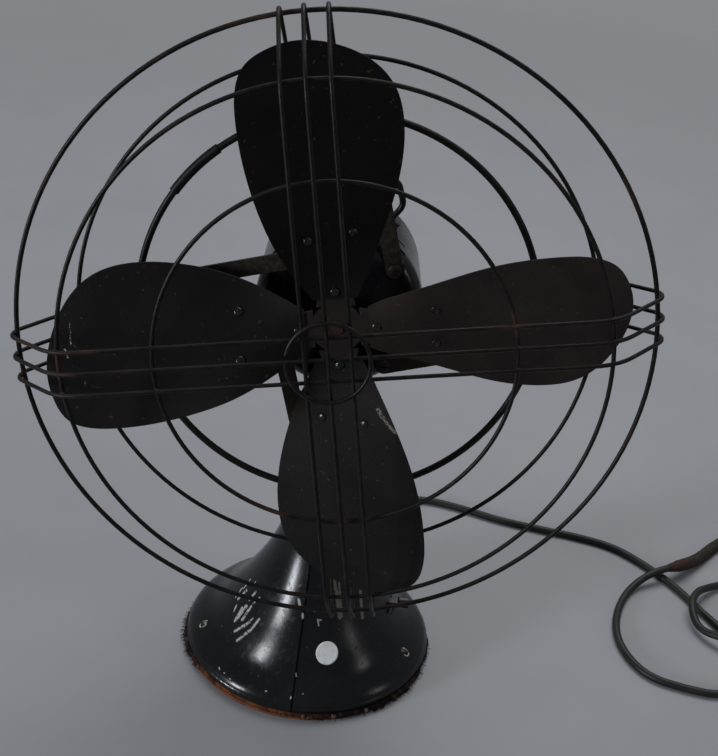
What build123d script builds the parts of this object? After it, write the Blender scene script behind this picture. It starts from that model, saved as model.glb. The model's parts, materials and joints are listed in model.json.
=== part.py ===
"""Oscillating desk fan, 400 mm sweep, in the pose of the photograph.

Frame: millimetres, +Z up, origin at the centre of the base's underside, front of the base towards -Y.
The head leans back by TILT_REST about the tilt pivot and is turned by PAN_REST about the swivel post.
Head pieces are drawn in an axial frame: X to the viewer's right, Y up, Z along the shaft to the front,
with its zero on the swivel post. Angles there run counter-clockwise as seen from the front.
"""
from build123d import *
from math import atan2, cos, degrees, hypot, pi, radians, sin, sqrt, tan
import os

# ---------------------------------------------------------------- driving dimensions
SWEEP_RADIUS = 200.0        # blade tip
BLADE_COUNT = 4
BLADE_THICKNESS = 1.2
BLADE_LINE = 99.2           # angle of the first blade's centre line at rest
BLADE_SET = 103.0           # axial place of the blade roots, from the post
SPIDER_THICKNESS = 2.0
SPIDER_DISC_RADIUS = 24.0
HUB_RADIUS = 13.0
HUB_LENGTH = 22.0
RIVET_RADIUS = 1.6
RIVET_HEAD_RADIUS = 3.3
RIVET_HEAD_HEIGHT = 1.7
RIVET_GAP = 0.1             # round the shank and under the head
RIVET_ROOT = 27.0           # along the blade from the shaft
RIVET_ROW = 67.5
RIVET_SPREAD = 15.0         # of the row's two rivets from the blade's line

GUARD_RADIUS = 216.0        # outer ring, on the wire's centre line
GUARD_PLACE = 121.9         # axial place of the outer ring
GUARD_TURN = 9.6            # the cage is mounted turned by this much
OUTER_WIRE_RADIUS = 1.65
RING_WIRE_RADIUS = 1.5
CROSS_WIRE_RADIUS = 1.4
MOUNT_RING_WIRE_RADIUS = 2.5
FRONT_RING_RADIUS = 180.7
FRONT_RING_PLACE = 37.5     # ring places are counted from the outer ring, front positive
INNER_RING_RADIUS = 118.8
INNER_RING_PLACE = 40.0
CENTRE_RING_RADIUS = 27.5
CENTRE_RING_GAP = 12.0      # opening left in the centre ring, degrees
REAR_RING_RADIUS = 182.5
REAR_RING_PLACE = -39.8
MOUNT_RING_RADIUS = 142.7
MOUNT_RING_PLACE = -52.9
WIRE_SPACING = 15.3
WIRES_EACH_WAY = 3
CROSS_WIRES_SHIFT = 2.0     # the level wires were welded this much above the shaft's line
UPRIGHT_WIRES_SHIFT = 4.0   # and the upright ones this much to its left
WELD_GAP = 0.1
WIRE_END = 6.0              # each wire runs this far past the mount ring
REAR_BEND = 20.0
OUTER_BEND = 14.0
FRONT_BEND = 36.0
INNER_BEND = 40.0
SLEEVE_LENGTH = 44.0
SLEEVE_WALL = 1.0

STRAP_WIDTH = 12.5
STRAP_THICKNESS = 2.0
STRAP_COUNT = 4
STRAP_BOSS_ANGLE = 45.0
STRAP_RING_ANGLE = 88.0
STRAP_BOSS_RADIUS = 51.5
BOSS_HEIGHT = 2.0
BOSS_SIZE = 7.0

MOTOR_RADIUS = 61.0
MOTOR_WALL = 2.0
MOTOR_FRONT = 67.0          # axial place of the front face
MOTOR_SEAM = -28.0
MOTOR_REAR = -44.0
MOTOR_SHOULDER = 15.0
BEARING_BOSS_RADIUS = 13.0
BEARING_BOSS_LENGTH = 7.0
BUSH_RADIUS = 7.0
SHAFT_RADIUS = 4.0
SHAFT_END_RADIUS = 3.0
RUNNING_GAP = 0.05
STACK_LENGTH = 34.0
STACK_REAR = -6.0
STATOR_BORE = 31.0
AIR_GAP = 0.5
WINDING_DEPTH = 13.0
VENT_LENGTH = 14.0
VENT_WIDTH = 3.0

HANDLE_WIRE_RADIUS = 2.4
HANDLE_FOOT = 33.0
HANDLE_KNEE = 41.0
HANDLE_CORNER = 35.0
HANDLE_RISE = 26.0
HANDLE_KNEE_RISE = 14.0
HANDLE_PLACE = 6.0

GEAR_MODULE = 1.0
GEAR_TEETH = 16
GEAR_WIDTH = 5.0
WORM_LENGTH = 16.0
WORM_RADIUS = 5.0
MESH_CLEARANCE = 0.2
TRAIN_PLACE = -62.0         # axial place of the first worm's middle
CRANK_SIDE = 16.0           # sideways place of the second worm and of the crank shaft
PINION_SHAFT_RADIUS = 2.5
CRANK_RADIUS = 13.0
CRANK_DISC_RADIUS = 17.0
CRANK_DISC_THICKNESS = 3.0
CRANK_TURN = 287.5          # crank's angle at rest, from the front, counter-clockwise from above
CASE_WALL = 3.0
CASE_RADIUS = 9.0
LEG_RADIUS = 8.0

TILT_RISE = 31.0            # tilt pivot above the pedestal's top
TILT_REST = 6.3
PAN_REST = 4.7
DRUM_RISE = 45.0            # underside of the drum above the tilt pivot
TILT_BOLT_RADIUS = 4.0
TONGUE_THICKNESS = 14.0
TONGUE_RADIUS = 13.0
EAR_THICKNESS = 6.0
PIVOT_SIDE_GAP = 0.3
BRIDGE_HEIGHT = 7.0
POST_RADIUS = 7.0
POST_BOSS_RADIUS = 13.0
WASHER_THICKNESS = 1.5
SADDLE_PAD = 5.0            # pad under the drum at its lowest line
KNOB_RADIUS = 11.0
KNOB_LENGTH = 13.0
LINK_ARM = 27.0             # from the post to the link's fixed pin
LINK_PIN_RADIUS = 2.5
LINK_THICKNESS = 3.0
LINK_WIDTH = 9.0
LINK_PLANE = 31.0           # underside of the link above the tilt pivot
LINK_ARM_ANGLE = 0.0

RIM_RADIUS = 105.0
RIM_HEIGHT = 12.0           # where the dome starts
SHELL_WALL = 2.5
SHELL_TOP = 204.0
BEAD_RADIUS = 3.0
PLATE_THICKNESS = 4.0
FELT_THICKNESS = 2.5
NECK_RADIUS = 21.0
HOLE_RADIUS = 2.6
HOLE_SPACING = 174.0
HOLE_FORWARD = 31.5
COLLAR_HEIGHT = 8.0
PLUG_DEPTH = 32.0
SLOT_HEIGHT = 46.0          # speed lever's slot above the floor
SLOT_WIDTH = 4.0
LEVER_ANGLE = 4.0           # lever's place round the base, from +X
LEVER_THICKNESS = 2.0
LEVER_WIDTH = 6.0
LEVER_OVERHANG = 11.5       # lever's reach out of the slot
LEVER_KNOB_RADIUS = 4.5
LEVER_KNOB_LENGTH = 10.0
LEVER_SWING = 40.0

CORD_RADIUS = 3.5
CORD_EXIT_HEIGHT = 13.0
RELIEF_LENGTH = 24.0
RELIEF_RADIUS = 6.5
COIL_RADIUS = 42.0
COIL_STEP = 4.1             # change of radius in half a turn
COIL_LIFT = 7.9             # from one layer to the next
COIL_HALF_TURNS = 3         # in each layer
COIL_TAIL = 28.0            # straight run from the coil to the plug
PLUG_RADIUS = 11.6
PLUG_LENGTH = 30.0
PRONG_LENGTH = 17.0
PRONG_WIDTH = 6.4
PRONG_THICKNESS = 1.5
PRONG_SPACING = 12.7

# ---------------------------------------------------------------- places that follow from them
TILT_HEIGHT = SHELL_TOP + TILT_RISE
AXLE_HEIGHT = DRUM_RISE + MOTOR_RADIUS
TILT = Location((0, 0, TILT_HEIGHT)) * Location((0, 0, 0), (-TILT_REST, 0, 0))
HEAD = TILT * Location((0, 0, 0), (0, 0, PAN_REST))
AXIAL = HEAD * Location((0, 0, AXLE_HEIGHT), (90, 0, 0))


def write(name, piece, place=Location()):
    """One file for one piece, moved to its place on the fan."""
    export_step(place * piece, f"parts/{name}.step")


def turned(piece, angle):
    return Location((0, 0, 0), (0, 0, angle)) * piece


def at(z, x=0.0, y=0.0):
    return Location((x, y, z))


def rod(radius, start, end, x=0.0, y=0.0):
    """Round bar along Z between two heights."""
    return at((start + end) / 2, x, y) * Cylinder(radius, abs(end - start))


def tube(outer, inner, start, end, x=0.0, y=0.0):
    return rod(outer, start, end, x, y) - rod(inner, start, end, x, y)


def spun(points):
    """Solid of revolution about Z from (radius, height) corners."""
    profile = make_face(Plane.XZ * Polyline(*points, close=True))
    return revolve(profile, Axis.Z)


def swept(path, radius):
    start = path.position_at(0)
    section = Plane(origin=start, z_dir=path.tangent_at(0)) * Circle(radius)
    return sweep(section, path=path)


def group(pieces):
    return Compound(children=[Compound(p.solids()) if not isinstance(p, Solid) else p for p in pieces])


def polar(radius, angle):
    return radius * cos(radians(angle)), radius * sin(radians(angle))


# ---------------------------------------------------------------- base
# (height, half width, bow reach) of the pedestal's outside, from the rim to the neck
PEDESTAL = [
    (RIM_HEIGHT, RIM_RADIUS - 1.0, RIM_RADIUS - 1.0),
    (RIM_HEIGHT + 5.0, 100.5, 101.5),
    (28.0, 86.0, 91.0),
    (42.0, 73.0, 83.0),
    (60.0, 59.5, 71.0),
    (82.0, 46.0, 57.0),
    (110.0, 33.0, 41.5),
    (145.0, 25.0, 30.0),
    (175.0, 22.0, 24.5),
    (SHELL_TOP, NECK_RADIUS, NECK_RADIUS + 1.0),
]


def pedestal_wire(height, half_width, bow):
    """Round at the back, drawn to a crease at the front."""
    left, right, back, front = (-half_width, 0), (half_width, 0), (0, half_width), (0, -bow)
    diagonal = half_width * sqrt(0.5)
    outline = [
        ThreePointArc(right, (diagonal, diagonal), back),
        ThreePointArc(back, (-diagonal, diagonal), left),
        TangentArc(left, front, tangent=(0, -1)),
        TangentArc(right, front, tangent=(0, -1)),
    ]
    return at(height) * make_face(Curve() + outline)


def pedestal(inset=0.0, extra=0.0):
    """Solid dome and neck, drawn in by the inset and longer by the extra at both ends."""
    heights = [h for h, _, _ in PEDESTAL]
    heights[0] -= extra
    heights[-1] += extra
    return loft([pedestal_wire(h, w - inset, b - inset) for h, (_, w, b) in zip(heights, PEDESTAL)])


def pedestal_width(height):
    """Half width of the outside at a height, by straight steps between the stations."""
    for (h0, w0, _), (h1, w1, _) in zip(PEDESTAL, PEDESTAL[1:]):
        if h0 <= height <= h1:
            return w0 + (w1 - w0) * (height - h0) / (h1 - h0)
    raise ValueError(height)


def hole_points():
    return [(side * HOLE_SPACING / 2, -HOLE_FORWARD) for side in (-1, 1)]


def base_shell():
    skirt_foot = PLATE_THICKNESS + FELT_THICKNESS
    rim = RIM_RADIUS - 1.0
    dome = pedestal()
    shell = dome - pedestal(SHELL_WALL, 1.0)
    shell += tube(rim, rim - SHELL_WALL, skirt_foot, RIM_HEIGHT)
    shell += at(skirt_foot + BEAD_RADIUS) * Torus(RIM_RADIUS - BEAD_RADIUS, BEAD_RADIUS)
    shell -= rod(NECK_RADIUS - SHELL_WALL, SHELL_TOP - PLUG_DEPTH - 4, SHELL_TOP + 1)
    # bosses that the mounting screws pass through, from the dome down to the plate
    for x, y in hole_points():
        shell += rod(HOLE_RADIUS + 2.5, skirt_foot, SHELL_TOP, x, y) & (dome + rod(rim, skirt_foot, RIM_HEIGHT))
        shell -= rod(HOLE_RADIUS, 0, SHELL_TOP, x, y)
    for x, y in plate_screw_points():
        shell += rod(4.5, skirt_foot, 40, x, y) & (dome + rod(rim, skirt_foot, RIM_HEIGHT))
        shell -= rod(2.0, 0, 24, x, y)
    # slot for the speed lever and the cord's hole at the back
    slot = tube(RIM_RADIUS, 10, SLOT_HEIGHT - SLOT_WIDTH / 2, SLOT_HEIGHT + SLOT_WIDTH / 2)
    wedge = make_face(Polyline((0, 0), polar(200, LEVER_ANGLE - slot_half()),
                               polar(200, LEVER_ANGLE + slot_half()), close=True))
    shell -= slot & extrude(wedge, SHELL_TOP)
    shell -= Location((0, RIM_RADIUS, CORD_EXIT_HEIGHT), (90, 0, 0)) * Cylinder(RELIEF_RADIUS - 1.5, 40)
    # hole of the screw that holds the neck casting
    shell -= Location((0, NECK_RADIUS, SHELL_TOP - PLUG_DEPTH / 2), (90, 0, 0)) * Cylinder(2.5, 20)
    return shell


def slot_half():
    """Half the slot's angle round the base: the lever's swing, its half width and a margin."""
    arm = pedestal_width(SLOT_HEIGHT) - SWITCH_PLACE
    swing = radians(LEVER_SWING / 2)
    return degrees(atan2(arm * sin(swing) + LEVER_WIDTH / 2 + 2, SWITCH_PLACE + arm * cos(swing)))


def plate_screw_points():
    return [polar(RIM_RADIUS - 25, angle) for angle in (-90, 30, 150)]


def base_plate():
    plate = rod(RIM_RADIUS - 0.5, 0, PLATE_THICKNESS)
    plate = fillet(plate.edges().filter_by(GeomType.CIRCLE).sort_by(Axis.Z)[-1:], 1.5)
    for x, y in hole_points():
        plate -= rod(HOLE_RADIUS, -1, 20, x, y)
    for x, y in plate_screw_points():
        plate -= rod(2.1, -1, 20, x, y) + rod(4.2, -1, 1.8, x, y)
    return plate


def base_felt():
    top = PLATE_THICKNESS + FELT_THICKNESS
    return tube(RIM_RADIUS - 0.8, RIM_RADIUS - 9, PLATE_THICKNESS, top)


def plate_screw(x, y):
    return rod(4.0, 0.4, 1.8, x, y) + rod(2.0, 1.8, 20, x, y)


def base_screws():
    return group([plate_screw(x, y) for x, y in plate_screw_points()])


SWITCH_SIZE = (34.0, 24.0, 22.0)
SWITCH_PLACE = 30.0


def switch_housing():
    """Moulded speed switch on the plate, under the slot."""
    x, y = polar(SWITCH_PLACE, LEVER_ANGLE)
    long, wide, high = SWITCH_SIZE
    block = Location((x, y, PLATE_THICKNESS + high / 2), (0, 0, LEVER_ANGLE)) * Box(wide, long, high)
    block = fillet(block.edges().filter_by(Axis.Z), 3)
    return block + rod(5, PLATE_THICKNESS + high, PLATE_THICKNESS + high + 4, x, y)


def switch_lever():
    """Flat lever on the switch's spindle, out through the slot."""
    x, y = polar(SWITCH_PLACE, LEVER_ANGLE)
    reach = pedestal_width(SLOT_HEIGHT) + LEVER_OVERHANG - SWITCH_PLACE
    low = SLOT_HEIGHT - LEVER_THICKNESS / 2
    blade = at(SLOT_HEIGHT, reach / 2) * Box(reach, LEVER_WIDTH, LEVER_THICKNESS)
    top = PLATE_THICKNESS + SWITCH_SIZE[2] + 4 + 0.3
    hub = rod(4.5, top, low + LEVER_THICKNESS)
    return Location((x, y, 0)) * turned(blade + hub, LEVER_ANGLE)


def lever_knob():
    start = pedestal_width(SLOT_HEIGHT) + LEVER_OVERHANG - 6
    grip = Location((start, 0, SLOT_HEIGHT), (0, 90, 0)) * rod(LEVER_KNOB_RADIUS, 0, LEVER_KNOB_LENGTH)
    grip = fillet(grip.edges().filter_by(GeomType.CIRCLE), 1.6)
    grip -= at(SLOT_HEIGHT, start) * Box(12, LEVER_WIDTH, LEVER_THICKNESS)
    return turned(grip, LEVER_ANGLE)


CHOKE_SIZE = (44.0, 30.0, 26.0)
CHOKE_X = -32.0


def choke_core():
    """Laminated core of the speed coil: a window frame with a middle limb."""
    long, deep, high = CHOKE_SIZE
    core = Box(deep, long, high)
    limb, window = 9.0, high - 2 * 7.0
    for side in (-1, 1):
        core -= at(0, 0, side * (long / 4 - 1)) * Box(deep + 2, long / 2 - limb - 2, window)
    return at(PLATE_THICKNESS + high / 2, CHOKE_X) * core


def choke_coil():
    long, deep, high = CHOKE_SIZE
    limb, window = 9.0, high - 2 * 7.0
    gap = 0.4
    inner = (long / 4 - 1) - (long / 2 - limb - 2) / 2
    outer = (long / 4 - 1) + (long / 2 - limb - 2) / 2
    coil = Box(deep + 2 * (outer - inner), 2 * (outer - gap), window - 2 * gap)
    coil = fillet(coil.edges().filter_by(Axis.Z), 5)
    coil -= Box(deep + 2 * gap, 2 * (inner + gap), window + 2)
    return at(PLATE_THICKNESS + high / 2, CHOKE_X) * coil


def cord_relief():
    """Rubber strain relief in the back of the rim."""
    back = RIM_RADIUS
    profile = [(RELIEF_RADIUS + 1.5, 0.3), (RELIEF_RADIUS, 5), (CORD_RADIUS + 1.2, RELIEF_LENGTH),
               (0, RELIEF_LENGTH), (0, -8), (RELIEF_RADIUS - 1.6, -8), (RELIEF_RADIUS - 1.6, 0.3)]
    body = spun(profile)
    return Location((0, back, CORD_EXIT_HEIGHT), (-90, 0, 0)) * body


# ---------------------------------------------------------------- neck and tilting trunnion
def neck_casting():
    """Plugged into the shell's neck, with the tongue of the tilt joint on top."""
    plug_radius = NECK_RADIUS - SHELL_WALL
    top = SHELL_TOP + COLLAR_HEIGHT
    body = spun([(0, SHELL_TOP - PLUG_DEPTH), (plug_radius, SHELL_TOP - PLUG_DEPTH), (plug_radius, SHELL_TOP),
                 (NECK_RADIUS, SHELL_TOP), (NECK_RADIUS, top - 4), (TONGUE_RADIUS, top), (0, top)])
    tongue = at((top - 1 + TILT_HEIGHT) / 2) * Box(TONGUE_THICKNESS, 2 * TONGUE_RADIUS, TILT_HEIGHT - top + 1)
    tongue += at(TILT_HEIGHT) * (Rotation(0, 90, 0) * Cylinder(TONGUE_RADIUS, TONGUE_THICKNESS))
    bore = at(TILT_HEIGHT) * (Rotation(0, 90, 0) * Cylinder(TILT_BOLT_RADIUS + RUNNING_GAP, 60))
    screw_hole = Location((0, NECK_RADIUS - 8, SHELL_TOP - PLUG_DEPTH / 2), (90, 0, 0)) * Cylinder(2.5, 16)
    return body + tongue - bore - screw_hole


def neck_screw():
    x, middle = 0, SHELL_TOP - PLUG_DEPTH / 2
    shank = Location((x, NECK_RADIUS - 6, middle), (90, 0, 0)) * Cylinder(2.5, 16)
    head = Location((x, NECK_RADIUS + 2.6, middle), (90, 0, 0)) * Cylinder(4.5, 2.8)
    return shank + fillet(head.edges().filter_by(GeomType.CIRCLE), 0.8)


def ear_reach():
    return TONGUE_THICKNESS / 2 + PIVOT_SIDE_GAP + EAR_THICKNESS


def bridge_foot():
    return TONGUE_RADIUS + 1.0


def trunnion():
    """Fork over the tongue, bridge, swivel post and the arm that anchors the link."""
    reach, foot = ear_reach(), bridge_foot()
    top = foot + BRIDGE_HEIGHT
    body = at((foot + top) / 2) * Box(2 * reach, 2 * TONGUE_RADIUS, BRIDGE_HEIGHT)
    for side in (-1, 1):
        x = side * (reach - EAR_THICKNESS / 2)
        body += at(foot / 2, x) * Box(EAR_THICKNESS, 2 * TONGUE_RADIUS, foot)
        body += at(0, x) * (Rotation(0, 90, 0) * Cylinder(TONGUE_RADIUS, EAR_THICKNESS))
    body += rod(POST_BOSS_RADIUS, foot, top)
    body -= Rotation(0, 90, 0) * Cylinder(TILT_BOLT_RADIUS + RUNNING_GAP, 80)
    x, y = link_pin_point()
    thick = 4.0
    arm = at(top - thick / 2, x / 2, y / 2) * turned(Box(LINK_ARM, 2 * LINK_WIDTH * 0.6, thick), LINK_ARM_ANGLE)
    body += arm + rod(LINK_WIDTH * 0.6, top - thick, top, x, y)
    # shouldered pin on the arm, which carries the link
    body += rod(LINK_PIN_RADIUS + 1.8, top, LINK_PLANE - 0.1, x, y)
    body += rod(LINK_PIN_RADIUS, LINK_PLANE - 0.1, LINK_PLANE + LINK_THICKNESS + 1.5, x, y)
    return body - rod(POST_RADIUS, foot, top + 1)


def link_pin_point():
    return polar(LINK_ARM, LINK_ARM_ANGLE)


def swivel_post():
    foot = bridge_foot()
    return rod(POST_RADIUS, foot, AXLE_HEIGHT - MOTOR_RADIUS - 1.5)


def thrust_washer():
    foot = bridge_foot() + BRIDGE_HEIGHT
    return tube(POST_BOSS_RADIUS - 1, POST_RADIUS + RUNNING_GAP, foot, foot + WASHER_THICKNESS)


def tilt_bolt():
    """Hexagon head on the left, threaded end for the knob on the right."""
    reach = ear_reach()
    shank = Rotation(0, 90, 0) * rod(TILT_BOLT_RADIUS, -reach, reach + KNOB_LENGTH)
    head = extrude(RegularPolygon(7.0, 6), 5)
    return shank + Location((-reach - 5, 0, 0), (0, 90, 0)) * head


def tilt_knob():
    """Knurled clamp knob on the tilt bolt."""
    reach = ear_reach() + 0.3
    knob = rod(KNOB_RADIUS, 0, KNOB_LENGTH) + rod(KNOB_RADIUS - 3.5, KNOB_LENGTH, KNOB_LENGTH + 3)
    knob = fillet(knob.edges().filter_by(GeomType.CIRCLE).sort_by(Axis.Z)[-2:-1], 1.0)
    flutes = 18
    for k in range(flutes):
        x, y = polar(KNOB_RADIUS + 0.5, 360 * k / flutes)
        knob -= rod(1.2, -1, KNOB_LENGTH + 1, x, y)
    knob -= rod(TILT_BOLT_RADIUS + RUNNING_GAP, -1, KNOB_LENGTH)
    return Location((reach, 0, 0), (0, 90, 0)) * knob


# ---------------------------------------------------------------- motor
def shell_profile(radius, front, rear, shoulder):
    """Outline of a drum with a rounded front shoulder, spun about the shaft."""
    edge = radius - shoulder
    line = Polyline((edge, front), (0, front), (0, rear), (radius, rear), (radius, front - shoulder))
    corner = TangentArc((radius, front - shoulder), (edge, front), tangent=(0, 1))
    return revolve(make_face(Plane.XZ * (Curve() + [line, corner])), Axis.Z)


def boss_points():
    return [polar(STRAP_BOSS_RADIUS, STRAP_BOSS_ANGLE + 90 * k) for k in range(STRAP_COUNT)]


def tie_points():
    return [polar(MOTOR_RADIUS - MOTOR_WALL - 4.6, 90 * k) for k in range(4)]


def motor_housing():
    """Drawn drum, closed at the front, with the front bearing's boss and strap bosses."""
    inner = MOTOR_RADIUS - MOTOR_WALL
    body = shell_profile(MOTOR_RADIUS, MOTOR_FRONT, MOTOR_SEAM, MOTOR_SHOULDER)
    body -= shell_profile(inner, MOTOR_FRONT - MOTOR_WALL, MOTOR_SEAM - 1, MOTOR_SHOULDER - MOTOR_WALL)
    body += rod(BEARING_BOSS_RADIUS, MOTOR_FRONT - 16, MOTOR_FRONT + BEARING_BOSS_LENGTH)
    for x, y in boss_points():
        body += rod(BOSS_SIZE, MOTOR_FRONT - MOTOR_SHOULDER, MOTOR_FRONT + BOSS_HEIGHT, x, y) \
            - shell_profile(inner, MOTOR_FRONT - MOTOR_WALL, MOTOR_SEAM - 1, MOTOR_SHOULDER - MOTOR_WALL)
        body -= rod(2.5, MOTOR_FRONT - 12, MOTOR_FRONT + BOSS_HEIGHT + 1, x, y)
    for x, y in tie_points():
        body += rod(5, MOTOR_SEAM, MOTOR_SEAM + 15, x, y) & rod(inner + 0.5, MOTOR_SEAM, MOTOR_SEAM + 15)
        body -= rod(2.0, MOTOR_SEAM - 1, MOTOR_SEAM + 14, x, y)
    body -= rod(BUSH_RADIUS, MOTOR_FRONT - 20, MOTOR_FRONT + BEARING_BOSS_LENGTH + 1)
    # two rows of cooling slots on the shoulder, above and below on each side
    for k in range(4):
        for place in (MOTOR_FRONT - MOTOR_SHOULDER - 15, MOTOR_FRONT - MOTOR_SHOULDER + 3):
            body -= vent(place, 48 + 90 * k + 3)
    return body


def vent(place, angle):
    spread = degrees(VENT_LENGTH / MOTOR_RADIUS) / 2
    wedge = make_face(Polyline((0, 0), polar(2 * MOTOR_RADIUS, angle - spread),
                               polar(2 * MOTOR_RADIUS, angle + spread), close=True))
    ring = tube(MOTOR_RADIUS + 3, MOTOR_RADIUS - 12, place - VENT_WIDTH / 2, place + VENT_WIDTH / 2)
    return ring & (at(-100) * extrude(wedge, 300))


def motor_rear_cover():
    inner = MOTOR_RADIUS - MOTOR_WALL
    depth = MOTOR_SEAM - MOTOR_REAR
    body = Location((0, 0, 0), (180, 0, 0)) * shell_profile(MOTOR_RADIUS, -MOTOR_REAR, -MOTOR_SEAM, depth - 3)
    cavity = Location((0, 0, 0), (180, 0, 0)) * shell_profile(
        inner, -MOTOR_REAR - MOTOR_WALL, -MOTOR_SEAM - 1, depth - 3 - MOTOR_WALL)
    body -= cavity
    body += rod(BEARING_BOSS_RADIUS, MOTOR_REAR + MOTOR_WALL, MOTOR_REAR + 12)
    for x, y in tie_points():
        body += rod(5, MOTOR_REAR + 6, MOTOR_SEAM, x, y) & rod(MOTOR_RADIUS, MOTOR_REAR, MOTOR_SEAM)
        body -= rod(2.1, MOTOR_REAR - 1, MOTOR_SEAM + 1, x, y) + rod(4.4, MOTOR_REAR - 1, MOTOR_REAR + 6, x, y)
    return body - rod(BUSH_RADIUS, MOTOR_REAR - 1, MOTOR_REAR + 13)


def tie_screws():
    screws = [rod(2.0, MOTOR_REAR + 6, MOTOR_SEAM + 12, x, y) + rod(4.0, MOTOR_REAR + 3, MOTOR_REAR + 6, x, y)
              for x, y in tie_points()]
    return group(screws)


def shaft_bushes():
    """Bronze bushes pressed into the front and rear bosses."""
    return group([tube(BUSH_RADIUS, SHAFT_RADIUS + RUNNING_GAP, start, end) for start, end in [
        (MOTOR_FRONT - 14, MOTOR_FRONT + BEARING_BOSS_LENGTH), (MOTOR_REAR, MOTOR_REAR + 12)]])


def stator_core():
    inner = MOTOR_RADIUS - MOTOR_WALL
    core = tube(inner, STATOR_BORE, STACK_REAR, STACK_REAR + STACK_LENGTH)
    slots = 16
    slot = make_face(Polyline((STATOR_BORE + 2, -2), (STATOR_BORE + 15, -4), (STATOR_BORE + 15, 4),
                              (STATOR_BORE + 2, 2), close=True))
    cutter = at(STACK_REAR - 1) * extrude(slot, STACK_LENGTH + 2)
    for k in range(slots):
        core -= turned(cutter, 360 * (k + 0.5) / slots)
    return core


def winding_ring(start, end):
    ring = tube(STATOR_BORE + 15, STATOR_BORE + 2, start, end)
    return fillet(ring.edges().filter_by(GeomType.CIRCLE), 3)


def stator_windings():
    front = STACK_REAR + STACK_LENGTH
    return group([winding_ring(front, front + WINDING_DEPTH), winding_ring(STACK_REAR - WINDING_DEPTH, STACK_REAR)])


def swivel_saddle():
    """Casting under the drum with the blind bore that turns on the post."""
    low = AXLE_HEIGHT - (bridge_foot() + BRIDGE_HEIGHT + WASHER_THICKNESS)
    boss = Rotation(90, 0, 0) * rod(POST_BOSS_RADIUS, MOTOR_RADIUS - 6, low)
    pad = Location((0, -MOTOR_RADIUS - SADDLE_PAD + 9, 0)) * Box(56, 18, 34)
    pad = fillet(pad.edges().filter_by(Axis.Y), 6)
    body = boss + pad
    body -= rod(MOTOR_RADIUS, -60, 60)
    body -= Rotation(90, 0, 0) * rod(POST_RADIUS + RUNNING_GAP, MOTOR_RADIUS - 8, low + 1)
    for x, z in saddle_screw_points():
        body -= Location((x, 0, z), (90, 0, 0)) * rod(2.5, 0, 90)
    return body


def saddle_screw_points():
    return [(x, z) for x in (-21, 21) for z in (-10, 10)]


def saddle_screws():
    low = MOTOR_RADIUS + SADDLE_PAD
    return group([Location((x, 0, z), (90, 0, 0)) * (rod(2.5, MOTOR_RADIUS, low) + rod(4.5, low, low + 3))
                  for x, z in saddle_screw_points()])


def carry_handle():
    """Bent rod over the drum, its feet on the drum's upper sides."""
    foot = sqrt(MOTOR_RADIUS ** 2 - HANDLE_FOOT ** 2)
    knee = foot + HANDLE_KNEE_RISE
    crown = foot + HANDLE_KNEE_RISE + HANDLE_RISE - 8
    reach = HANDLE_FOOT - 3
    points = [(-reach, foot - 1.0), (-HANDLE_KNEE, knee), (-HANDLE_CORNER, crown),
              (HANDLE_CORNER, crown), (HANDLE_KNEE, knee), (reach, foot - 1.0)]
    path = at(HANDLE_PLACE) * FilletPolyline(*points, radius=[9, 7, 7, 9])
    body = swept(path, HANDLE_WIRE_RADIUS) - rod(MOTOR_RADIUS, -60, 60)
    return body


def handle_feet():
    """Riveted feet that hold the handle's ends."""
    feet = []
    height = sqrt(MOTOR_RADIUS ** 2 - HANDLE_FOOT ** 2)
    slope = degrees(atan2(height, HANDLE_FOOT))
    for side in (-1, 1):
        angle = slope if side > 0 else 180 - slope
        pad = Location((0, 0, 0), (0, 90, 0)) * rod(6.5, MOTOR_RADIUS - 4, MOTOR_RADIUS + 3)
        pad = at(HANDLE_PLACE) * turned(pad, angle) - rod(MOTOR_RADIUS, -60, 60)
        feet.append(pad - carry_handle())
    return group(feet)


# ---------------------------------------------------------------- oscillator
def mesh_distance():
    return WORM_RADIUS + GEAR_MODULE * GEAR_TEETH / 2


def worm(bore):
    """Single-start worm along Z, centred on the origin, crest at X+ on the middle plane."""
    pitch = pi * GEAR_MODULE
    root = WORM_RADIUS - 1.1 * GEAR_MODULE
    crest = WORM_RADIUS + 0.85 * GEAR_MODULE
    turns = 3
    height = turns * pitch
    helix = Helix(pitch=pitch, height=height, radius=root)
    half_root, half_crest = 0.33 * pitch - MESH_CLEARANCE, 0.13 * pitch
    plane = Plane(origin=helix @ 0, x_dir=(1, 0, 0), z_dir=(0, -1, 0))
    tooth = plane * make_face(Polyline((-0.3, -half_root), (crest - root, -half_crest),
                                       (crest - root, half_crest), (-0.3, half_root), close=True))
    thread = sweep(tooth, path=helix, is_frenet=True)
    thread = at(-height / 2) * turned(thread, 180 * (turns % 2))
    body = rod(root, -WORM_LENGTH / 2, WORM_LENGTH / 2) + thread
    return body - rod(bore, -WORM_LENGTH, WORM_LENGTH) if bore else body


def gear(bore):
    """Worm wheel about Z with a tooth gap facing X+."""
    radius = GEAR_MODULE * GEAR_TEETH / 2
    tip, root = radius + 0.85 * GEAR_MODULE, radius - 1.1 * GEAR_MODULE
    pitch = pi * GEAR_MODULE
    blank = Cylinder(tip, GEAR_WIDTH)
    gap = make_face(Polyline((root, -0.14 * pitch), (tip + 0.5, -0.40 * pitch), (tip + 0.5, 0.40 * pitch),
                             (root, 0.14 * pitch), close=True))
    cutter = at(-GEAR_WIDTH) * extrude(gap, 2 * GEAR_WIDTH)
    for k in range(GEAR_TEETH):
        blank -= turned(cutter, 360 * k / GEAR_TEETH)
    return blank - rod(bore, -GEAR_WIDTH, GEAR_WIDTH)


def cross_height():
    return -mesh_distance()


def crank_place():
    return TRAIN_PLACE - mesh_distance()


def shaft_worm():
    """Crest faces down, towards the cross shaft's wheel."""
    return at(TRAIN_PLACE) * turned(worm(SHAFT_END_RADIUS), -90)


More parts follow.
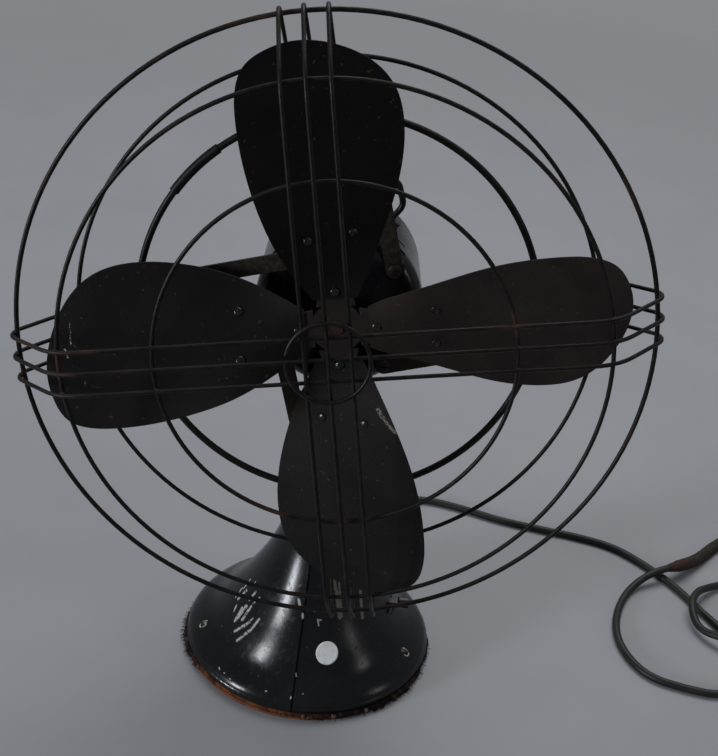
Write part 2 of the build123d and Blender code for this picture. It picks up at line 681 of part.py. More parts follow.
def cross_location():
    """Cross shaft's own frame: Z along the viewer's right, X up towards the motor shaft."""
    return Location(Plane(origin=(0, cross_height(), TRAIN_PLACE), x_dir=(0, 1, 0), z_dir=(1, 0, 0)))


def case_reach():
    return CRANK_SIDE + GEAR_MODULE * GEAR_TEETH / 2 + 6


def cross_shaft():
    """Shaft with its worm, ends running in the case's walls."""
    left = -case_left() - 0.5 * CASE_WALL
    body = rod(PINION_SHAFT_RADIUS, left, case_reach() + 0.5 * CASE_WALL)
    # the worm's crest faces backwards, towards the crank shaft's wheel
    return cross_location() * (body + at(CRANK_SIDE) * turned(worm(0), -90))


def cross_wheel():
    return cross_location() * gear(PINION_SHAFT_RADIUS)


def crank_location():
    """Crank shaft's own frame: Z up, X towards the front."""
    return Location(Plane(origin=(CRANK_SIDE, cross_height(), crank_place()), x_dir=(0, 0, 1), z_dir=(0, 1, 0)))


def crank_wheel():
    return crank_location() * gear(SHAFT_END_RADIUS)


def crank_drop():
    """From the crank wheel's middle down to the top of the crank disc."""
    pin_foot = LINK_PLANE + LINK_THICKNESS + 0.4
    disc_foot = pin_foot + 4.0
    return AXLE_HEIGHT + cross_height() - disc_foot - CRANK_DISC_THICKNESS


def crank_shaft():
    """Shaft, disc and stub pin that swings the link."""
    drop = crank_drop()
    body = rod(SHAFT_END_RADIUS, -drop, 6)
    body += rod(CRANK_DISC_RADIUS, -drop - CRANK_DISC_THICKNESS, -drop)
    x, y = polar(CRANK_RADIUS, CRANK_TURN)
    body += rod(LINK_PIN_RADIUS, -drop - CRANK_DISC_THICKNESS - 4.0, -drop - CRANK_DISC_THICKNESS, x, y)
    return crank_location() * body


def crank_pin_point():
    """Crank pin's plan place at rest, seen from the trunnion: X and the way back, from the post."""
    forward, side = polar(CRANK_RADIUS, CRANK_TURN)
    x, y = CRANK_SIDE + side, -(crank_place() + forward)
    turn = radians(PAN_REST)
    return x * cos(turn) - y * sin(turn), x * sin(turn) + y * cos(turn)


def case_left():
    return GEAR_WIDTH / 2 + 10


def case_box(grow, front, rear):
    """Rounded block round the gear train, in the axial frame."""
    left, right = -case_left() - grow, case_reach() + grow
    low = cross_height() - GEAR_MODULE * GEAR_TEETH / 2 - 4 - grow
    high = WORM_RADIUS + 4 + grow
    block = Location(((left + right) / 2, (low + high) / 2, (front + rear) / 2)) * \
        Box(right - left, high - low, front - rear)
    return fillet(block.edges().filter_by(Axis.Z), CASE_RADIUS + grow - CASE_WALL)


def case_rear():
    return crank_place() - GEAR_MODULE * GEAR_TEETH / 2 - 4


def gearbox_case():
    body = case_box(CASE_WALL, MOTOR_REAR, case_rear())
    body -= case_box(0, MOTOR_REAR - CASE_WALL, case_rear() - 1)
    body -= rod(SHAFT_RADIUS + 1, MOTOR_REAR - CASE_WALL - 1, MOTOR_REAR + 1)
    body -= cross_location() * rod(PINION_SHAFT_RADIUS + RUNNING_GAP, -case_left() - 0.7 * CASE_WALL,
                                   case_reach() + 0.7 * CASE_WALL)
    # leg with the crank shaft's bearing
    low = cross_height() - GEAR_MODULE * GEAR_TEETH / 2 - 4
    drop = crank_drop() - 0.3
    body += crank_location() * rod(LEG_RADIUS, -drop, low - cross_height())
    body -= crank_location() * rod(SHAFT_END_RADIUS + RUNNING_GAP, -drop - 1, 0)
    return body - gearbox_screw_bodies()


def gearbox_screw_points():
    left, right = -case_left(), case_reach()
    low = cross_height() - GEAR_MODULE * GEAR_TEETH / 2 - 4
    high = WORM_RADIUS + 4
    return [(left - 0.2, high + 0.2), (right + 0.2, high + 0.2), (left - 0.2, low - 0.2), (right + 0.2, low - 0.2)]


def gearbox_screw_bodies():
    rear = case_rear()
    bodies = [rod(1.0, rear - 2.5, rear + 10, x, y) + rod(2.2, rear - 4.0, rear - 2.5, x, y)
              for x, y in gearbox_screw_points()]
    return group(bodies)


def gearbox_cover():
    rear = case_rear()
    return case_box(CASE_WALL, rear, rear - 2.5) - gearbox_screw_bodies()


def link_rod():
    """Flat link from the trunnion's pin to just under the crank pin."""
    x0, y0 = link_pin_point()
    x1, y1 = crank_pin_point()
    length = hypot(x1 - x0, y1 - y0)
    angle = degrees(atan2(y1 - y0, x1 - x0))
    bar = at(LINK_THICKNESS / 2, length / 2) * Box(length, LINK_WIDTH - 2, LINK_THICKNESS)
    bar += rod(LINK_WIDTH / 2 + 1, 0, LINK_THICKNESS) + rod(LINK_WIDTH / 2 + 1, 0, LINK_THICKNESS, length)
    bar -= rod(LINK_PIN_RADIUS + RUNNING_GAP, -1, LINK_THICKNESS + 1)
    bar -= rod(LINK_PIN_RADIUS + RUNNING_GAP, -1, LINK_THICKNESS + 1, length)
    return Location((x0, y0, LINK_PLANE), (0, 0, angle)) * bar


# ---------------------------------------------------------------- guard
def ring(radius, place, wire_radius):
    return at(GUARD_PLACE + place) * Torus(radius, wire_radius)


def outer_ring():
    return ring(GUARD_RADIUS, 0, OUTER_WIRE_RADIUS)


def wire_front():
    """Axial place of the straight wires at the middle, in front of the inner ring."""
    return INNER_RING_PLACE + RING_WIRE_RADIUS + CROSS_WIRE_RADIUS + WELD_GAP


def centre_ring():
    """Small open ring welded on the front of the wires."""
    place = wire_front() + 3 * CROSS_WIRE_RADIUS + RING_WIRE_RADIUS + 2 * WELD_GAP
    whole = ring(CENTRE_RING_RADIUS, place, RING_WIRE_RADIUS)
    opening = at(GUARD_PLACE, -CENTRE_RING_RADIUS) * \
        Box(3 * RING_WIRE_RADIUS, 2 * CENTRE_RING_RADIUS * sin(radians(CENTRE_RING_GAP / 2)), 300)
    return turned(at(0, -UPRIGHT_WIRES_SHIFT, CROSS_WIRES_SHIFT), GUARD_TURN) * turned(whole - opening, -GUARD_TURN)


def hugged(centre, gap, corner, before, after, bend):
    """Corner, from a rough one, of a path that bends round a wire's centre at a distance, on its outer side."""
    u0, u1 = unit(corner, before), unit(corner, after)
    inward = (u0[0] + u1[0], u0[1] + u1[1])
    size = hypot(*inward)
    inward = (inward[0] / size, inward[1] / size)
    half = (pi - angle_between(u0, u1)) / 2
    away = gap + bend * (1 / cos(half) - 1)
    return centre[0] - inward[0] * away, centre[1] - inward[1] * away


def unit(start, end):
    size = hypot(end[0] - start[0], end[1] - start[1])
    return (end[0] - start[0]) / size, (end[1] - start[1]) / size


def angle_between(a, b):
    return abs(atan2(a[0] * b[1] - a[1] * b[0], a[0] * b[0] + a[1] * b[1]))


def cage_wire(offset, lift):
    """One wire: from the mount ring out to the outer ring, round it, over the front and back again.

    lift raises the front run, so that the wires of one direction lie on those of the other.
    """
    def reach(radius):
        return sqrt(radius ** 2 - offset ** 2)

    mount = (reach(MOUNT_RING_RADIUS), MOUNT_RING_PLACE)
    rear = (reach(REAR_RING_RADIUS), REAR_RING_PLACE)
    outer = (reach(GUARD_RADIUS), 0.0)
    front = (reach(FRONT_RING_RADIUS), FRONT_RING_PLACE)
    inner = (reach(INNER_RING_RADIUS), INNER_RING_PLACE)
    ring_gap = RING_WIRE_RADIUS + CROSS_WIRE_RADIUS + WELD_GAP
    outer_gap = OUTER_WIRE_RADIUS + CROSS_WIRE_RADIUS + WELD_GAP
    mount_gap = MOUNT_RING_WIRE_RADIUS + CROSS_WIRE_RADIUS + WELD_GAP
    last = (inner[0], inner[1] + ring_gap + lift)
    end, at_rear, at_outer, at_front = mount, rear, outer, front
    for settling in range(12):
        along = unit(end, at_rear)
        end = (mount[0] + along[1] * mount_gap - along[0] * WIRE_END,
               mount[1] - along[0] * mount_gap - along[1] * WIRE_END)
        at_rear = hugged(rear, ring_gap, at_rear, end, at_outer, REAR_BEND)
        at_outer = hugged(outer, outer_gap, at_outer, at_rear, at_front, OUTER_BEND)
        at_front = hugged(front, ring_gap, at_front, at_outer, last, FRONT_BEND)
    corners = [(end, 0), (at_rear, REAR_BEND), (at_outer, OUTER_BEND), (at_front, FRONT_BEND), (last, INNER_BEND)]
    both = corners + [((-u, place), r) for (u, place), r in reversed(corners)]
    points = [(u, 0, GUARD_PLACE + s) for (u, s), _ in both]
    path = FilletPolyline(*points, radius=[r for _, r in both[1:-1]])
    return at(0, 0, offset) * swept(path, CROSS_WIRE_RADIUS)


def wire_offsets(shift):
    middle = (WIRES_EACH_WAY - 1) / 2
    return [shift + (k - middle) * WIRE_SPACING for k in range(WIRES_EACH_WAY)]


def cross_wires():
    return group([turned(cage_wire(offset, 0.0), GUARD_TURN) for offset in wire_offsets(CROSS_WIRES_SHIFT)])


def upright_wires():
    lift = 2 * CROSS_WIRE_RADIUS + WELD_GAP
    return group([turned(cage_wire(offset, lift), GUARD_TURN + 90) for offset in wire_offsets(UPRIGHT_WIRES_SHIFT)])


def ring_sleeve():
    """Short tube closed over the joint in the mount ring."""
    angle = degrees(SLEEVE_LENGTH / MOUNT_RING_RADIUS)
    around = Torus(MOUNT_RING_RADIUS, MOUNT_RING_WIRE_RADIUS + SLEEVE_WALL) \
        - Torus(MOUNT_RING_RADIUS, MOUNT_RING_WIRE_RADIUS)
    wedge = make_face(Polyline((0, 0), polar(300, 139 - angle / 2), polar(300, 139 + angle / 2), close=True))
    return at(GUARD_PLACE + MOUNT_RING_PLACE) * (around & (at(-10) * extrude(wedge, 20)))


def strap_plane():
    return GUARD_PLACE + MOUNT_RING_PLACE + MOUNT_RING_WIRE_RADIUS + WELD_GAP


def strap(index):
    """Flat bar from a boss on the drum to the front of the mount ring."""
    x0, y0 = polar(STRAP_BOSS_RADIUS, STRAP_BOSS_ANGLE + 90 * index)
    x1, y1 = polar(MOUNT_RING_RADIUS + 2, STRAP_RING_ANGLE + 90 * index)
    length, angle = hypot(x1 - x0, y1 - y0), degrees(atan2(y1 - y0, x1 - x0))
    bar = at(STRAP_THICKNESS / 2, length / 2) * Box(length, STRAP_WIDTH, STRAP_THICKNESS)
    bar += rod(STRAP_WIDTH / 2, 0, STRAP_THICKNESS)
    bar -= rod(2.6, -1, STRAP_THICKNESS + 1)
    # the foot steps down on to the boss
    foot = rod(STRAP_WIDTH / 2, MOTOR_FRONT + BOSS_HEIGHT - strap_plane(), 0) - rod(2.6, -10, 1)
    return at(strap_plane(), x0, y0) * turned(bar + foot, angle)


def guard_straps():
    return group([strap(k) for k in range(STRAP_COUNT)])


def strap_screws():
    top = strap_plane() + STRAP_THICKNESS
    head = at(top) * (scale(Sphere(4.8), by=(1, 1, 0.55)) & rod(6, 0, 10)) - at(top + 2.4) * Box(12, 1.0, 1.6)
    one = head + rod(2.5, MOTOR_FRONT - 8, top)
    return group([at(0, x, y) * one for x, y in boss_points()])


# ---------------------------------------------------------------- rotor
# (radius, pitch in degrees, axial rise of the middle) down the blade
TWIST = [(16.0, 0.0, 0.0), (RIVET_ROOT, 6.0, 0.6), (42.0, 20.0, 2.2), (RIVET_ROW, 27.0, 4.8), (90.0, 24.5, 7.0),
         (115.0, 21.0, 9.5), (145.0, 19.0, 12.5), (175.0, 18.0, 15.5), (SWEEP_RADIUS + 6, 17.5, 18.5)]
# (along, across) corners of a blade's outline from the root up its front edge
BLADE_FRONT = [(22.0, 15.0), (34.0, 22.0), (54.0, 31.0), (80.0, 40.8), (112.0, 48.9)]
# (short of the sweep, across) round the tip, which is cut away more on the rear edge
BLADE_TIP = [(48.0, 52.8), (28.0, 51.2), (14.0, 45.0), (5.0, 31.0), (1.3, 14.0), (4.0, -6.0), (10.5, -22.0),
             (22.0, -38.0), (38.0, -48.8), (60.0, -53.0)]
# and back down the rear edge
BLADE_REAR = [(112.0, -50.6), (80.0, -41.5), (54.0, -31.0), (34.0, -21.5), (22.0, -15.0)]


def blade_sheet(thickness, back, last):
    """Twisted strip along X: its back face lies back of the blade's middle face by the amount given."""
    sections = []
    for radius, pitch, rise in TWIST[:last]:
        wide = 66.0
        plane = Plane(origin=(radius, 0, BLADE_SET + rise), x_dir=(0, cos(radians(pitch)), sin(radians(pitch))),
                      z_dir=(1, 0, 0))
        sections.append(plane * Location((0, back, 0)) * Rectangle(2 * wide, thickness))
    return loft(sections)


def blade_outline():
    tip = [(SWEEP_RADIUS - short, across) for short, across in BLADE_TIP]
    edges = [
        Polyline(*BLADE_FRONT[:3]),
        Spline(*BLADE_FRONT[2:], *tip, *BLADE_REAR[:3]),
        Polyline(*BLADE_REAR[2:], BLADE_FRONT[0]),
    ]
    return make_face(Curve() + edges)


def rivet_points():
    """(along, across) places of the three rivets of a blade."""
    return [(RIVET_ROOT, 0.0), (RIVET_ROW, -RIVET_SPREAD), (RIVET_ROW, RIVET_SPREAD)]


def rivet_holes():
    holes = [rod(RIVET_RADIUS + RIVET_GAP, 0, 2 * BLADE_SET, x, y) for x, y in rivet_points()]
    return holes[0] + holes[1] + holes[2]


def blade():
    sheet = blade_sheet(BLADE_THICKNESS, 0.0, len(TWIST))
    return (sheet & extrude(blade_outline(), 2 * BLADE_SET)) - rivet_holes()


def arm_outline():
    return make_face(Polyline((14, -14), (30, -11), (50, -17), (70, -21.5), (76, -19), (76, 19), (70, 21.5),
                              (50, 17), (30, 11), (14, 14), close=True))


def spider_set():
    return (BLADE_THICKNESS + SPIDER_THICKNESS) / 2 + 0.12


def spider():
    """Pressed spider with four twisted arms on the hub's boss."""
    sheet = blade_sheet(SPIDER_THICKNESS, -spider_set(), 6)
    arm = (sheet & extrude(arm_outline(), 2 * BLADE_SET)) - rivet_holes()
    front = BLADE_SET - spider_set() + SPIDER_THICKNESS / 2
    body = rod(SPIDER_DISC_RADIUS - 6, front - SPIDER_THICKNESS, front)
    for k in range(BLADE_COUNT):
        body += turned(arm, BLADE_LINE + 90 * k)
    body += rod(HUB_RADIUS, front - HUB_LENGTH, front)
    body -= rod(SHAFT_RADIUS, front - HUB_LENGTH - 1, front + 1)
    body -= Location((0, 0, hub_screw_place()), (90, 0, 0)) * rod(2.5, 0, 30)
    return body


def hub_screw_place():
    return BLADE_SET - HUB_LENGTH + 6


def hub_screw():
    return Location((0, 0, hub_screw_place()), (90, 0, 0)) * rod(2.5, SHAFT_RADIUS, HUB_RADIUS + 1.5)


def rivets():
    """Three to a blade, each headed square to the sheet in front and cut short behind the spider."""
    head = scale(Sphere(RIVET_HEAD_RADIUS), by=(1, 1, RIVET_HEAD_HEIGHT / RIVET_HEAD_RADIUS)) & rod(9, 0, 9)
    pieces = []
    for k in range(BLADE_COUNT):
        for x, y in rivet_points():
            middle = sheet_height(x, y)
            normal = (-sheet_slope(x, y, 1, 0), -sheet_slope(x, y, 0, 1), 1)
            seat = Plane(origin=(x, y, middle), z_dir=normal)
            front_head = seat * at(BLADE_THICKNESS / 2 + RIVET_GAP + 0.05) * head
            shank = rod(RIVET_RADIUS, middle - BLADE_THICKNESS - SPIDER_THICKNESS - 1.2, middle + 1.3, x, y)
            pieces.append(turned(front_head + shank, BLADE_LINE + 90 * k))
    return group(pieces)


def sheet_height(x, y):
    """Axial place of the blade's middle face, between its sections."""
    for (r0, p0, z0), (r1, p1, z1) in zip(TWIST, TWIST[1:]):
        if r0 <= x <= r1:
            share = (x - r0) / (r1 - r0)
            return BLADE_SET + z0 + (z1 - z0) * share + y * tan(radians(p0 + (p1 - p0) * share))
    raise ValueError(x)


def sheet_slope(x, y, along, across):
    """Slope of the blade's middle face in one direction."""
    step = 2.0
    ahead = sheet_height(x + step * along, y + step * across)
    behind = sheet_height(x - step * along, y - step * across)
    return (ahead - behind) / (2 * step)


def rotor_shaft():
    front = BLADE_SET - spider_set() + SPIDER_THICKNESS / 2 + 1.5
    step = MOTOR_REAR - CASE_WALL - 1
    end = TRAIN_PLACE - WORM_LENGTH / 2 - 1
    return rod(SHAFT_RADIUS, step, front) + rod(SHAFT_END_RADIUS, end, step)


def rotor_core():
    core = tube(STATOR_BORE - AIR_GAP, SHAFT_RADIUS, STACK_REAR, STACK_REAR + STACK_LENGTH)
    for start in (STACK_REAR - 5, STACK_REAR + STACK_LENGTH):
        core += tube(STATOR_BORE - AIR_GAP - 1, STATOR_BORE - 9, start, start + 5)
    return core


# ---------------------------------------------------------------- cord
# route on the floor behind and to the right of the base, point by point, after the strain relief
ROUTE = [
    (0, 129, 13), (0, 149, 13), (8, 174, 8), (27, 200, 3.5), (57, 221, 3.5), (91, 230, 3.5), (128, 223, 3.5),
    (168, 210, 3.5), (208, 204, 3.5), (248, 199, 3.5), (283, 190, 3.5), (312, 167, 3.5), (340, 137, 3.5),
    (358, 107, 3.5), (378, 79, 3.5), (391, 46, 3.5), (387, 12, 3.5), (364, -9, 3.5), (333, -6, 3.5),
    (302, 2, 3.5), (283, 26, 3.5), (275, 59, 3.5), (281, 97, 3.5), (296, 129, 4), (318, 146, 13), (345, 160, 13.5),
    (367, 187, 4), (390, 219, 3.5), (416, 240, 3.5), (449, 236, 3.5), (462, 206, 3.5), (444, 178, 3.5),
    (410, 166, 3.5), (377, 146, 4.5), (356, 124, 13), (347, 101, 13), (352, 75, 6), (371, 59, 12.5), (398, 49, 13),
    (420, 45, 6), (440, 43, 3.5),
]


def coil_start():
    return ROUTE[-1][0] + 16.0, ROUTE[-1][1], CORD_RADIUS


def route_path():
    """Straight runs joined by arcs as large as their runs allow."""
    points = [Vector(*p) for p in ROUTE] + [Vector(*coil_start())]
    radii = []
    for a, b, c in zip(points, points[1:], points[2:]):
        turn = radians((b - a).get_angle(c - b))
        run = min((b - a).length, (c - b).length)
        radii.append(0.45 * run / tan(turn / 2))
    print("cord radii", [round(r) for r in radii])
    return FilletPolyline(*points, radius=radii)


def power_cord():
    path = route_path()
    cord = swept(path, CORD_RADIUS)
    print("cord length", round(path.length), "volume ratio",
          round(cord.volume / (pi * CORD_RADIUS ** 2 * path.length), 4))
    return cord


def coil_path():
    """Half turns that spiral in on the floor and out again one layer up, clockwise from above."""
    x, y, z = coil_start()
    radius = COIL_RADIUS
    edges = []
    start, heading = Vector(x, y, z), 1
    lead = Line(start, start + Vector(2 * CORD_RADIUS, 0, 0))
    edges.append(lead)
    start = lead @ 1
    count = 2 * COIL_HALF_TURNS + 1
    for k in range(count):
        step = -COIL_STEP if k < COIL_HALF_TURNS else (0 if k == COIL_HALF_TURNS else COIL_STEP)
        lift = COIL_LIFT if k == COIL_HALF_TURNS else 0
        across = 2 * radius + step
        end = start + Vector(0, -heading * across, lift)
        middle = start + Vector(heading * across / 2, -heading * across / 2, lift / 2)
        edges.append(ThreePointArc(start, middle, end))
        start, heading, radius = end, -heading, radius + step
    tail = Line(start, start + Vector(heading * COIL_TAIL, 0, 0))
    edges.append(tail)
    return edges, tail @ 1, heading


def cord_coil():
    edges, _, _ = coil_path()
    samples = []
    for n, edge in enumerate(edges):
        samples += [(n, edge @ (i / 24)) for i in range(24)]
    least = min((a - b).length for n, a in samples for m, b in samples if abs(n - m) > 1)
    print("coil length", round(sum(e.length for e in edges)), "least gap", round(least - 2 * CORD_RADIUS, 2))
    return swept(Wire(edges), CORD_RADIUS)


def plug_location():
    _, end, heading = coil_path()
    return Location(Plane(origin=end, x_dir=(0, 1, 0), z_dir=(heading, 0, 0)))


def plug_body():
    profile = [(0, 0), (CORD_RADIUS + 1.5, 0), (CORD_RADIUS + 3, 6), (PLUG_RADIUS - 2.5, 12),
               (PLUG_RADIUS - 1.5, 20), (PLUG_RADIUS - 0.5, PLUG_LENGTH - 5), (PLUG_RADIUS - 0.5, PLUG_LENGTH),
               (0, PLUG_LENGTH)]
    return plug_location() * spun(profile)


def plug_prongs():
    prongs = [at(PLUG_LENGTH + PRONG_LENGTH / 2, 0, side * PRONG_SPACING / 2) *
              Box(PRONG_WIDTH, PRONG_THICKNESS, PRONG_LENGTH) for side in (-1, 1)]
    return plug_location() * group(prongs)


# ---------------------------------------------------------------- all pieces
os.makedirs("parts", exist_ok=True)

for name, piece in [
    ("base_shell", base_shell()), ("base_plate", base_plate()), ("base_felt", base_felt()),
    ("base_screws", base_screws()), ("switch_housing", switch_housing()), ("switch_lever", switch_lever()),
    ("lever_knob", lever_knob()), ("choke_core", choke_core()), ("choke_coil", choke_coil()),
    ("cord_relief", cord_relief()), ("neck_casting", neck_casting()), ("neck_screw", neck_screw()),
    ("power_cord", power_cord()), ("cord_coil", cord_coil()), ("plug_body", plug_body()),
    ("plug_prongs", plug_prongs()),
]:
    write(name, piece)

for name, piece in [
    ("trunnion", trunnion()), ("swivel_post", swivel_post()), ("thrust_washer", thrust_washer()),
    ("tilt_bolt", tilt_bolt()), ("tilt_knob", tilt_knob()), ("link_rod", link_rod()),
]:
    write(name, piece, TILT)

for name, piece in [
    ("motor_housing", motor_housing()), ("motor_rear_cover", motor_rear_cover()), ("tie_screws", tie_screws()),
    ("shaft_bushes", shaft_bushes()), ("stator_core", stator_core()),
    ("stator_windings", stator_windings()), ("swivel_saddle", swivel_saddle()),
    ("saddle_screws", saddle_screws()), ("carry_handle", carry_handle()), ("handle_feet", handle_feet()),
    ("gearbox_case", gearbox_case()), ("gearbox_cover", gearbox_cover()),
    ("gearbox_screws", gearbox_screw_bodies()),
    ("guard_mount_ring", ring(MOUNT_RING_RADIUS, MOUNT_RING_PLACE, MOUNT_RING_WIRE_RADIUS)),
    ("ring_sleeve", ring_sleeve()),
    ("guard_rear_ring", ring(REAR_RING_RADIUS, REAR_RING_PLACE, RING_WIRE_RADIUS)),
    ("guard_outer_ring", outer_ring()),
    ("guard_front_ring", ring(FRONT_RING_RADIUS, FRONT_RING_PLACE, RING_WIRE_RADIUS)),
    ("guard_inner_ring", ring(INNER_RING_RADIUS, INNER_RING_PLACE, RING_WIRE_RADIUS)),
    ("guard_centre_ring", centre_ring()), ("guard_cross_wires", cross_wires()),
    ("guard_upright_wires", upright_wires()), ("guard_straps", guard_straps()),
    ("strap_screws", strap_screws()), ("rotor_shaft", rotor_shaft()), ("rotor_core", rotor_core()),
    ("fan_spider", spider()), ("hub_screw", hub_screw()), ("blade_rivets", rivets()),
    ("shaft_worm", shaft_worm()), ("cross_shaft", cross_shaft()), ("cross_wheel", cross_wheel()),
    ("crank_shaft", crank_shaft()), ("crank_wheel", crank_wheel()),
]:
    write(name, piece, AXIAL)

for k in range(BLADE_COUNT):
    write(f"fan_blade_{k + 1}", turned(blade(), BLADE_LINE + 360 / BLADE_COUNT * k), AXIAL)
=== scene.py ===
"""An old black desk fan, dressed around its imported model: a creased pedestal, a motor drum that tilts and
oscillates, four riveted blades in a wire guard, and a mains cord in loose loops beside it.

Sizes are metres, apart from the lists that say millimetres."""
import json
from math import atan2, cos, pi, radians, sin, sqrt, tau

import bmesh
import bpy
from mathutils import Matrix, Vector, noise
from mathutils.bvhtree import BVHTree


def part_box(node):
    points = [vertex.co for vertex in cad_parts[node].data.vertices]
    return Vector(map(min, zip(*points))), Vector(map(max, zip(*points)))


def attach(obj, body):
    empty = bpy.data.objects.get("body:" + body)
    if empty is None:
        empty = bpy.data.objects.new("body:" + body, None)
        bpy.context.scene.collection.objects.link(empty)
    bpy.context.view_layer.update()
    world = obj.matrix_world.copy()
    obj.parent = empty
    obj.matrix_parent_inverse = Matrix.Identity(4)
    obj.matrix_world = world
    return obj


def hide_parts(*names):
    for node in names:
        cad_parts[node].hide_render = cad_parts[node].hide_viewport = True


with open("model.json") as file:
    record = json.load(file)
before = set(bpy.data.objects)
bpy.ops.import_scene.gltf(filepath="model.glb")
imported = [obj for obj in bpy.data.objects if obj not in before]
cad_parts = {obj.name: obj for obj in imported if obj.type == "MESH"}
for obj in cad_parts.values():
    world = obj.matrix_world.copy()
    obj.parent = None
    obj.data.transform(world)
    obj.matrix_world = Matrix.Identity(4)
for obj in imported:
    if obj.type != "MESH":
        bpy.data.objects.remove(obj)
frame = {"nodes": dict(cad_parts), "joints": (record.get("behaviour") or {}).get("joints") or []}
nodes = frame["nodes"]
joints = {joint["name"]: joint for joint in frame["joints"]}
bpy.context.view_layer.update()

# ---- Table and light. A plain grey table top that fades into an even grey room, a soft window low on the
# left, a weak lamp on the right and a wide ceiling light behind. They aren't part of the fan.
TABLE_COLOUR = (0.305, 0.31, 0.33)
TABLE_SHADE = 0.93
TABLE_PATCH = 0.25
TABLE_SIZE = 40
ROOM_COLOUR = (0.237, 0.243, 0.26)
FADE_FROM, FADE_TO = 0.9, 2.6
AMBIENT_COLOUR = (0.62, 0.65, 0.70)
AMBIENT_STRENGTH = 0.34
LOOK_AT = Vector((0.0, 0.0, 0.25))


def shader(tree, kind, inputs=None, **settings):
    """Adds a shader node. A socket as an input is linked and any other value is set."""
    made = tree.nodes.new("ShaderNode" + kind)
    for setting, value in settings.items():
        setattr(made, setting, value)
    for socket, value in (inputs or {}).items():
        if isinstance(value, bpy.types.NodeSocket):
            tree.links.new(value, made.inputs[socket])
        else:
            made.inputs[socket].default_value = value
    return made


def new_finish(name, roughness, metallic=0.0):
    """A material, its tree and its Principled shader."""
    material = bpy.data.materials.new(name)
    material.use_nodes = True
    surface = material.node_tree.nodes["Principled BSDF"]
    surface.inputs["Roughness"].default_value = roughness
    surface.inputs["Metallic"].default_value = metallic
    return material, material.node_tree, surface


def clouds(tree, size, low=0.4, high=0.6, stretch=(1, 1, 1), shift=0.0, detail=5.0):
    """A mask from 0 to 1 of soft patches about this many metres wide, on Object coordinates."""
    place = shader(tree, "TexCoord").outputs["Object"]
    moved = shader(tree, "Mapping", {"Vector": place, "Location": (shift, shift, shift), "Scale": stretch})
    cloud = shader(tree, "TexNoise", {"Vector": moved.outputs[0], "Scale": 1 / size, "Detail": detail,
                                      "Roughness": 0.6})
    return shader(tree, "MapRange", {"Value": cloud.outputs["Fac"], "From Min": low,
                                     "From Max": high}).outputs["Result"]


def blended(tree, share, first, second):
    """Colour that goes from the first to the second as the share goes from 0 to 1."""
    mix = tree.nodes.new("ShaderNodeMix")
    mix.data_type = "RGBA"
    tree.links.new(share, mix.inputs[0])
    for index, value in ((6, first), (7, second)):
        if isinstance(value, bpy.types.NodeSocket):
            tree.links.new(value, mix.inputs[index])
        else:
            mix.inputs[index].default_value = (*value, 1.0)
    return mix.outputs[2]


def combined(tree, operation, first, second):
    """Result of one Math node on two numbers or masks."""
    return shader(tree, "Math", {0: first, 1: second}, operation=operation).outputs[0]


def ranged(tree, share, low, high):
    """Number that goes from low to high as the share goes from 0 to 1."""
    return shader(tree, "MapRange", {"Value": share, "To Min": low, "To Max": high}).outputs["Result"]


def bumped(tree, surface, height, depth):
    """Relief this many metres deep, on top of any relief that the surface already has."""
    bump = shader(tree, "Bump", {"Height": height, "Distance": depth, "Strength": 1.0})
    before = surface.inputs["Normal"].links
    if before:
        tree.links.new(before[0].from_socket, bump.inputs["Normal"])
    tree.links.new(bump.outputs["Normal"], surface.inputs["Normal"])


def colour(tree, surface, tint):
    """Gives the surface its base colour."""
    tree.links.new(tint, surface.inputs["Base Color"])


table_finish, tree, surface = new_finish("table_top", 0.75)
shaded = tuple(TABLE_SHADE * part for part in TABLE_COLOUR)
colour(tree, surface, blended(tree, clouds(tree, TABLE_PATCH, 0.35, 0.65), TABLE_COLOUR, shaded))
place = shader(tree, "TexCoord").outputs["Object"]
away = shader(tree, "VectorMath", {0: place}, operation="LENGTH").outputs["Value"]
far = shader(tree, "MapRange", {"Value": away, "From Min": FADE_FROM, "From Max": FADE_TO}).outputs["Result"]
seen = combined(tree, "MULTIPLY", far, shader(tree, "LightPath").outputs["Is Camera Ray"])
pale = shader(tree, "Emission", {"Color": (*ROOM_COLOUR, 1.0)}).outputs[0]
mixed = shader(tree, "MixShader", {0: seen, 1: surface.outputs[0], 2: pale})
tree.links.new(mixed.outputs[0], tree.nodes["Material Output"].inputs["Surface"])
bpy.ops.mesh.primitive_plane_add(size=TABLE_SIZE)
table = bpy.context.object
table.name = "table"
table.data.materials.append(table_finish)

scene = bpy.context.scene
scene.view_settings.view_transform = "Standard"
world = bpy.data.worlds.new("room")
scene.world = world
world.use_nodes = True
tree = world.node_tree
ambient = tree.nodes["Background"]
ambient.inputs["Color"].default_value = (*AMBIENT_COLOUR, 1.0)
ambient.inputs["Strength"].default_value = AMBIENT_STRENGTH
backdrop = shader(tree, "Background", {"Color": (*ROOM_COLOUR, 1.0)}).outputs[0]
mixed = shader(tree, "MixShader", {0: shader(tree, "LightPath").outputs["Is Camera Ray"],
                                   1: ambient.outputs[0], 2: backdrop})
tree.links.new(mixed.outputs[0], tree.nodes["World Output"].inputs["Surface"])


def soft_light(name, place, size, power, tint):
    """A rectangular lamp that faces the fan."""
    lamp = bpy.data.lights.new(name, "AREA")
    lamp.shape = "RECTANGLE"
    lamp.size, lamp.size_y = size
    lamp.energy = power
    lamp.color = tint
    holder = bpy.data.objects.new(name, lamp)
    scene.collection.objects.link(holder)
    holder.location = place
    holder.rotation_euler = (LOOK_AT - Vector(place)).to_track_quat("-Z", "Y").to_euler()


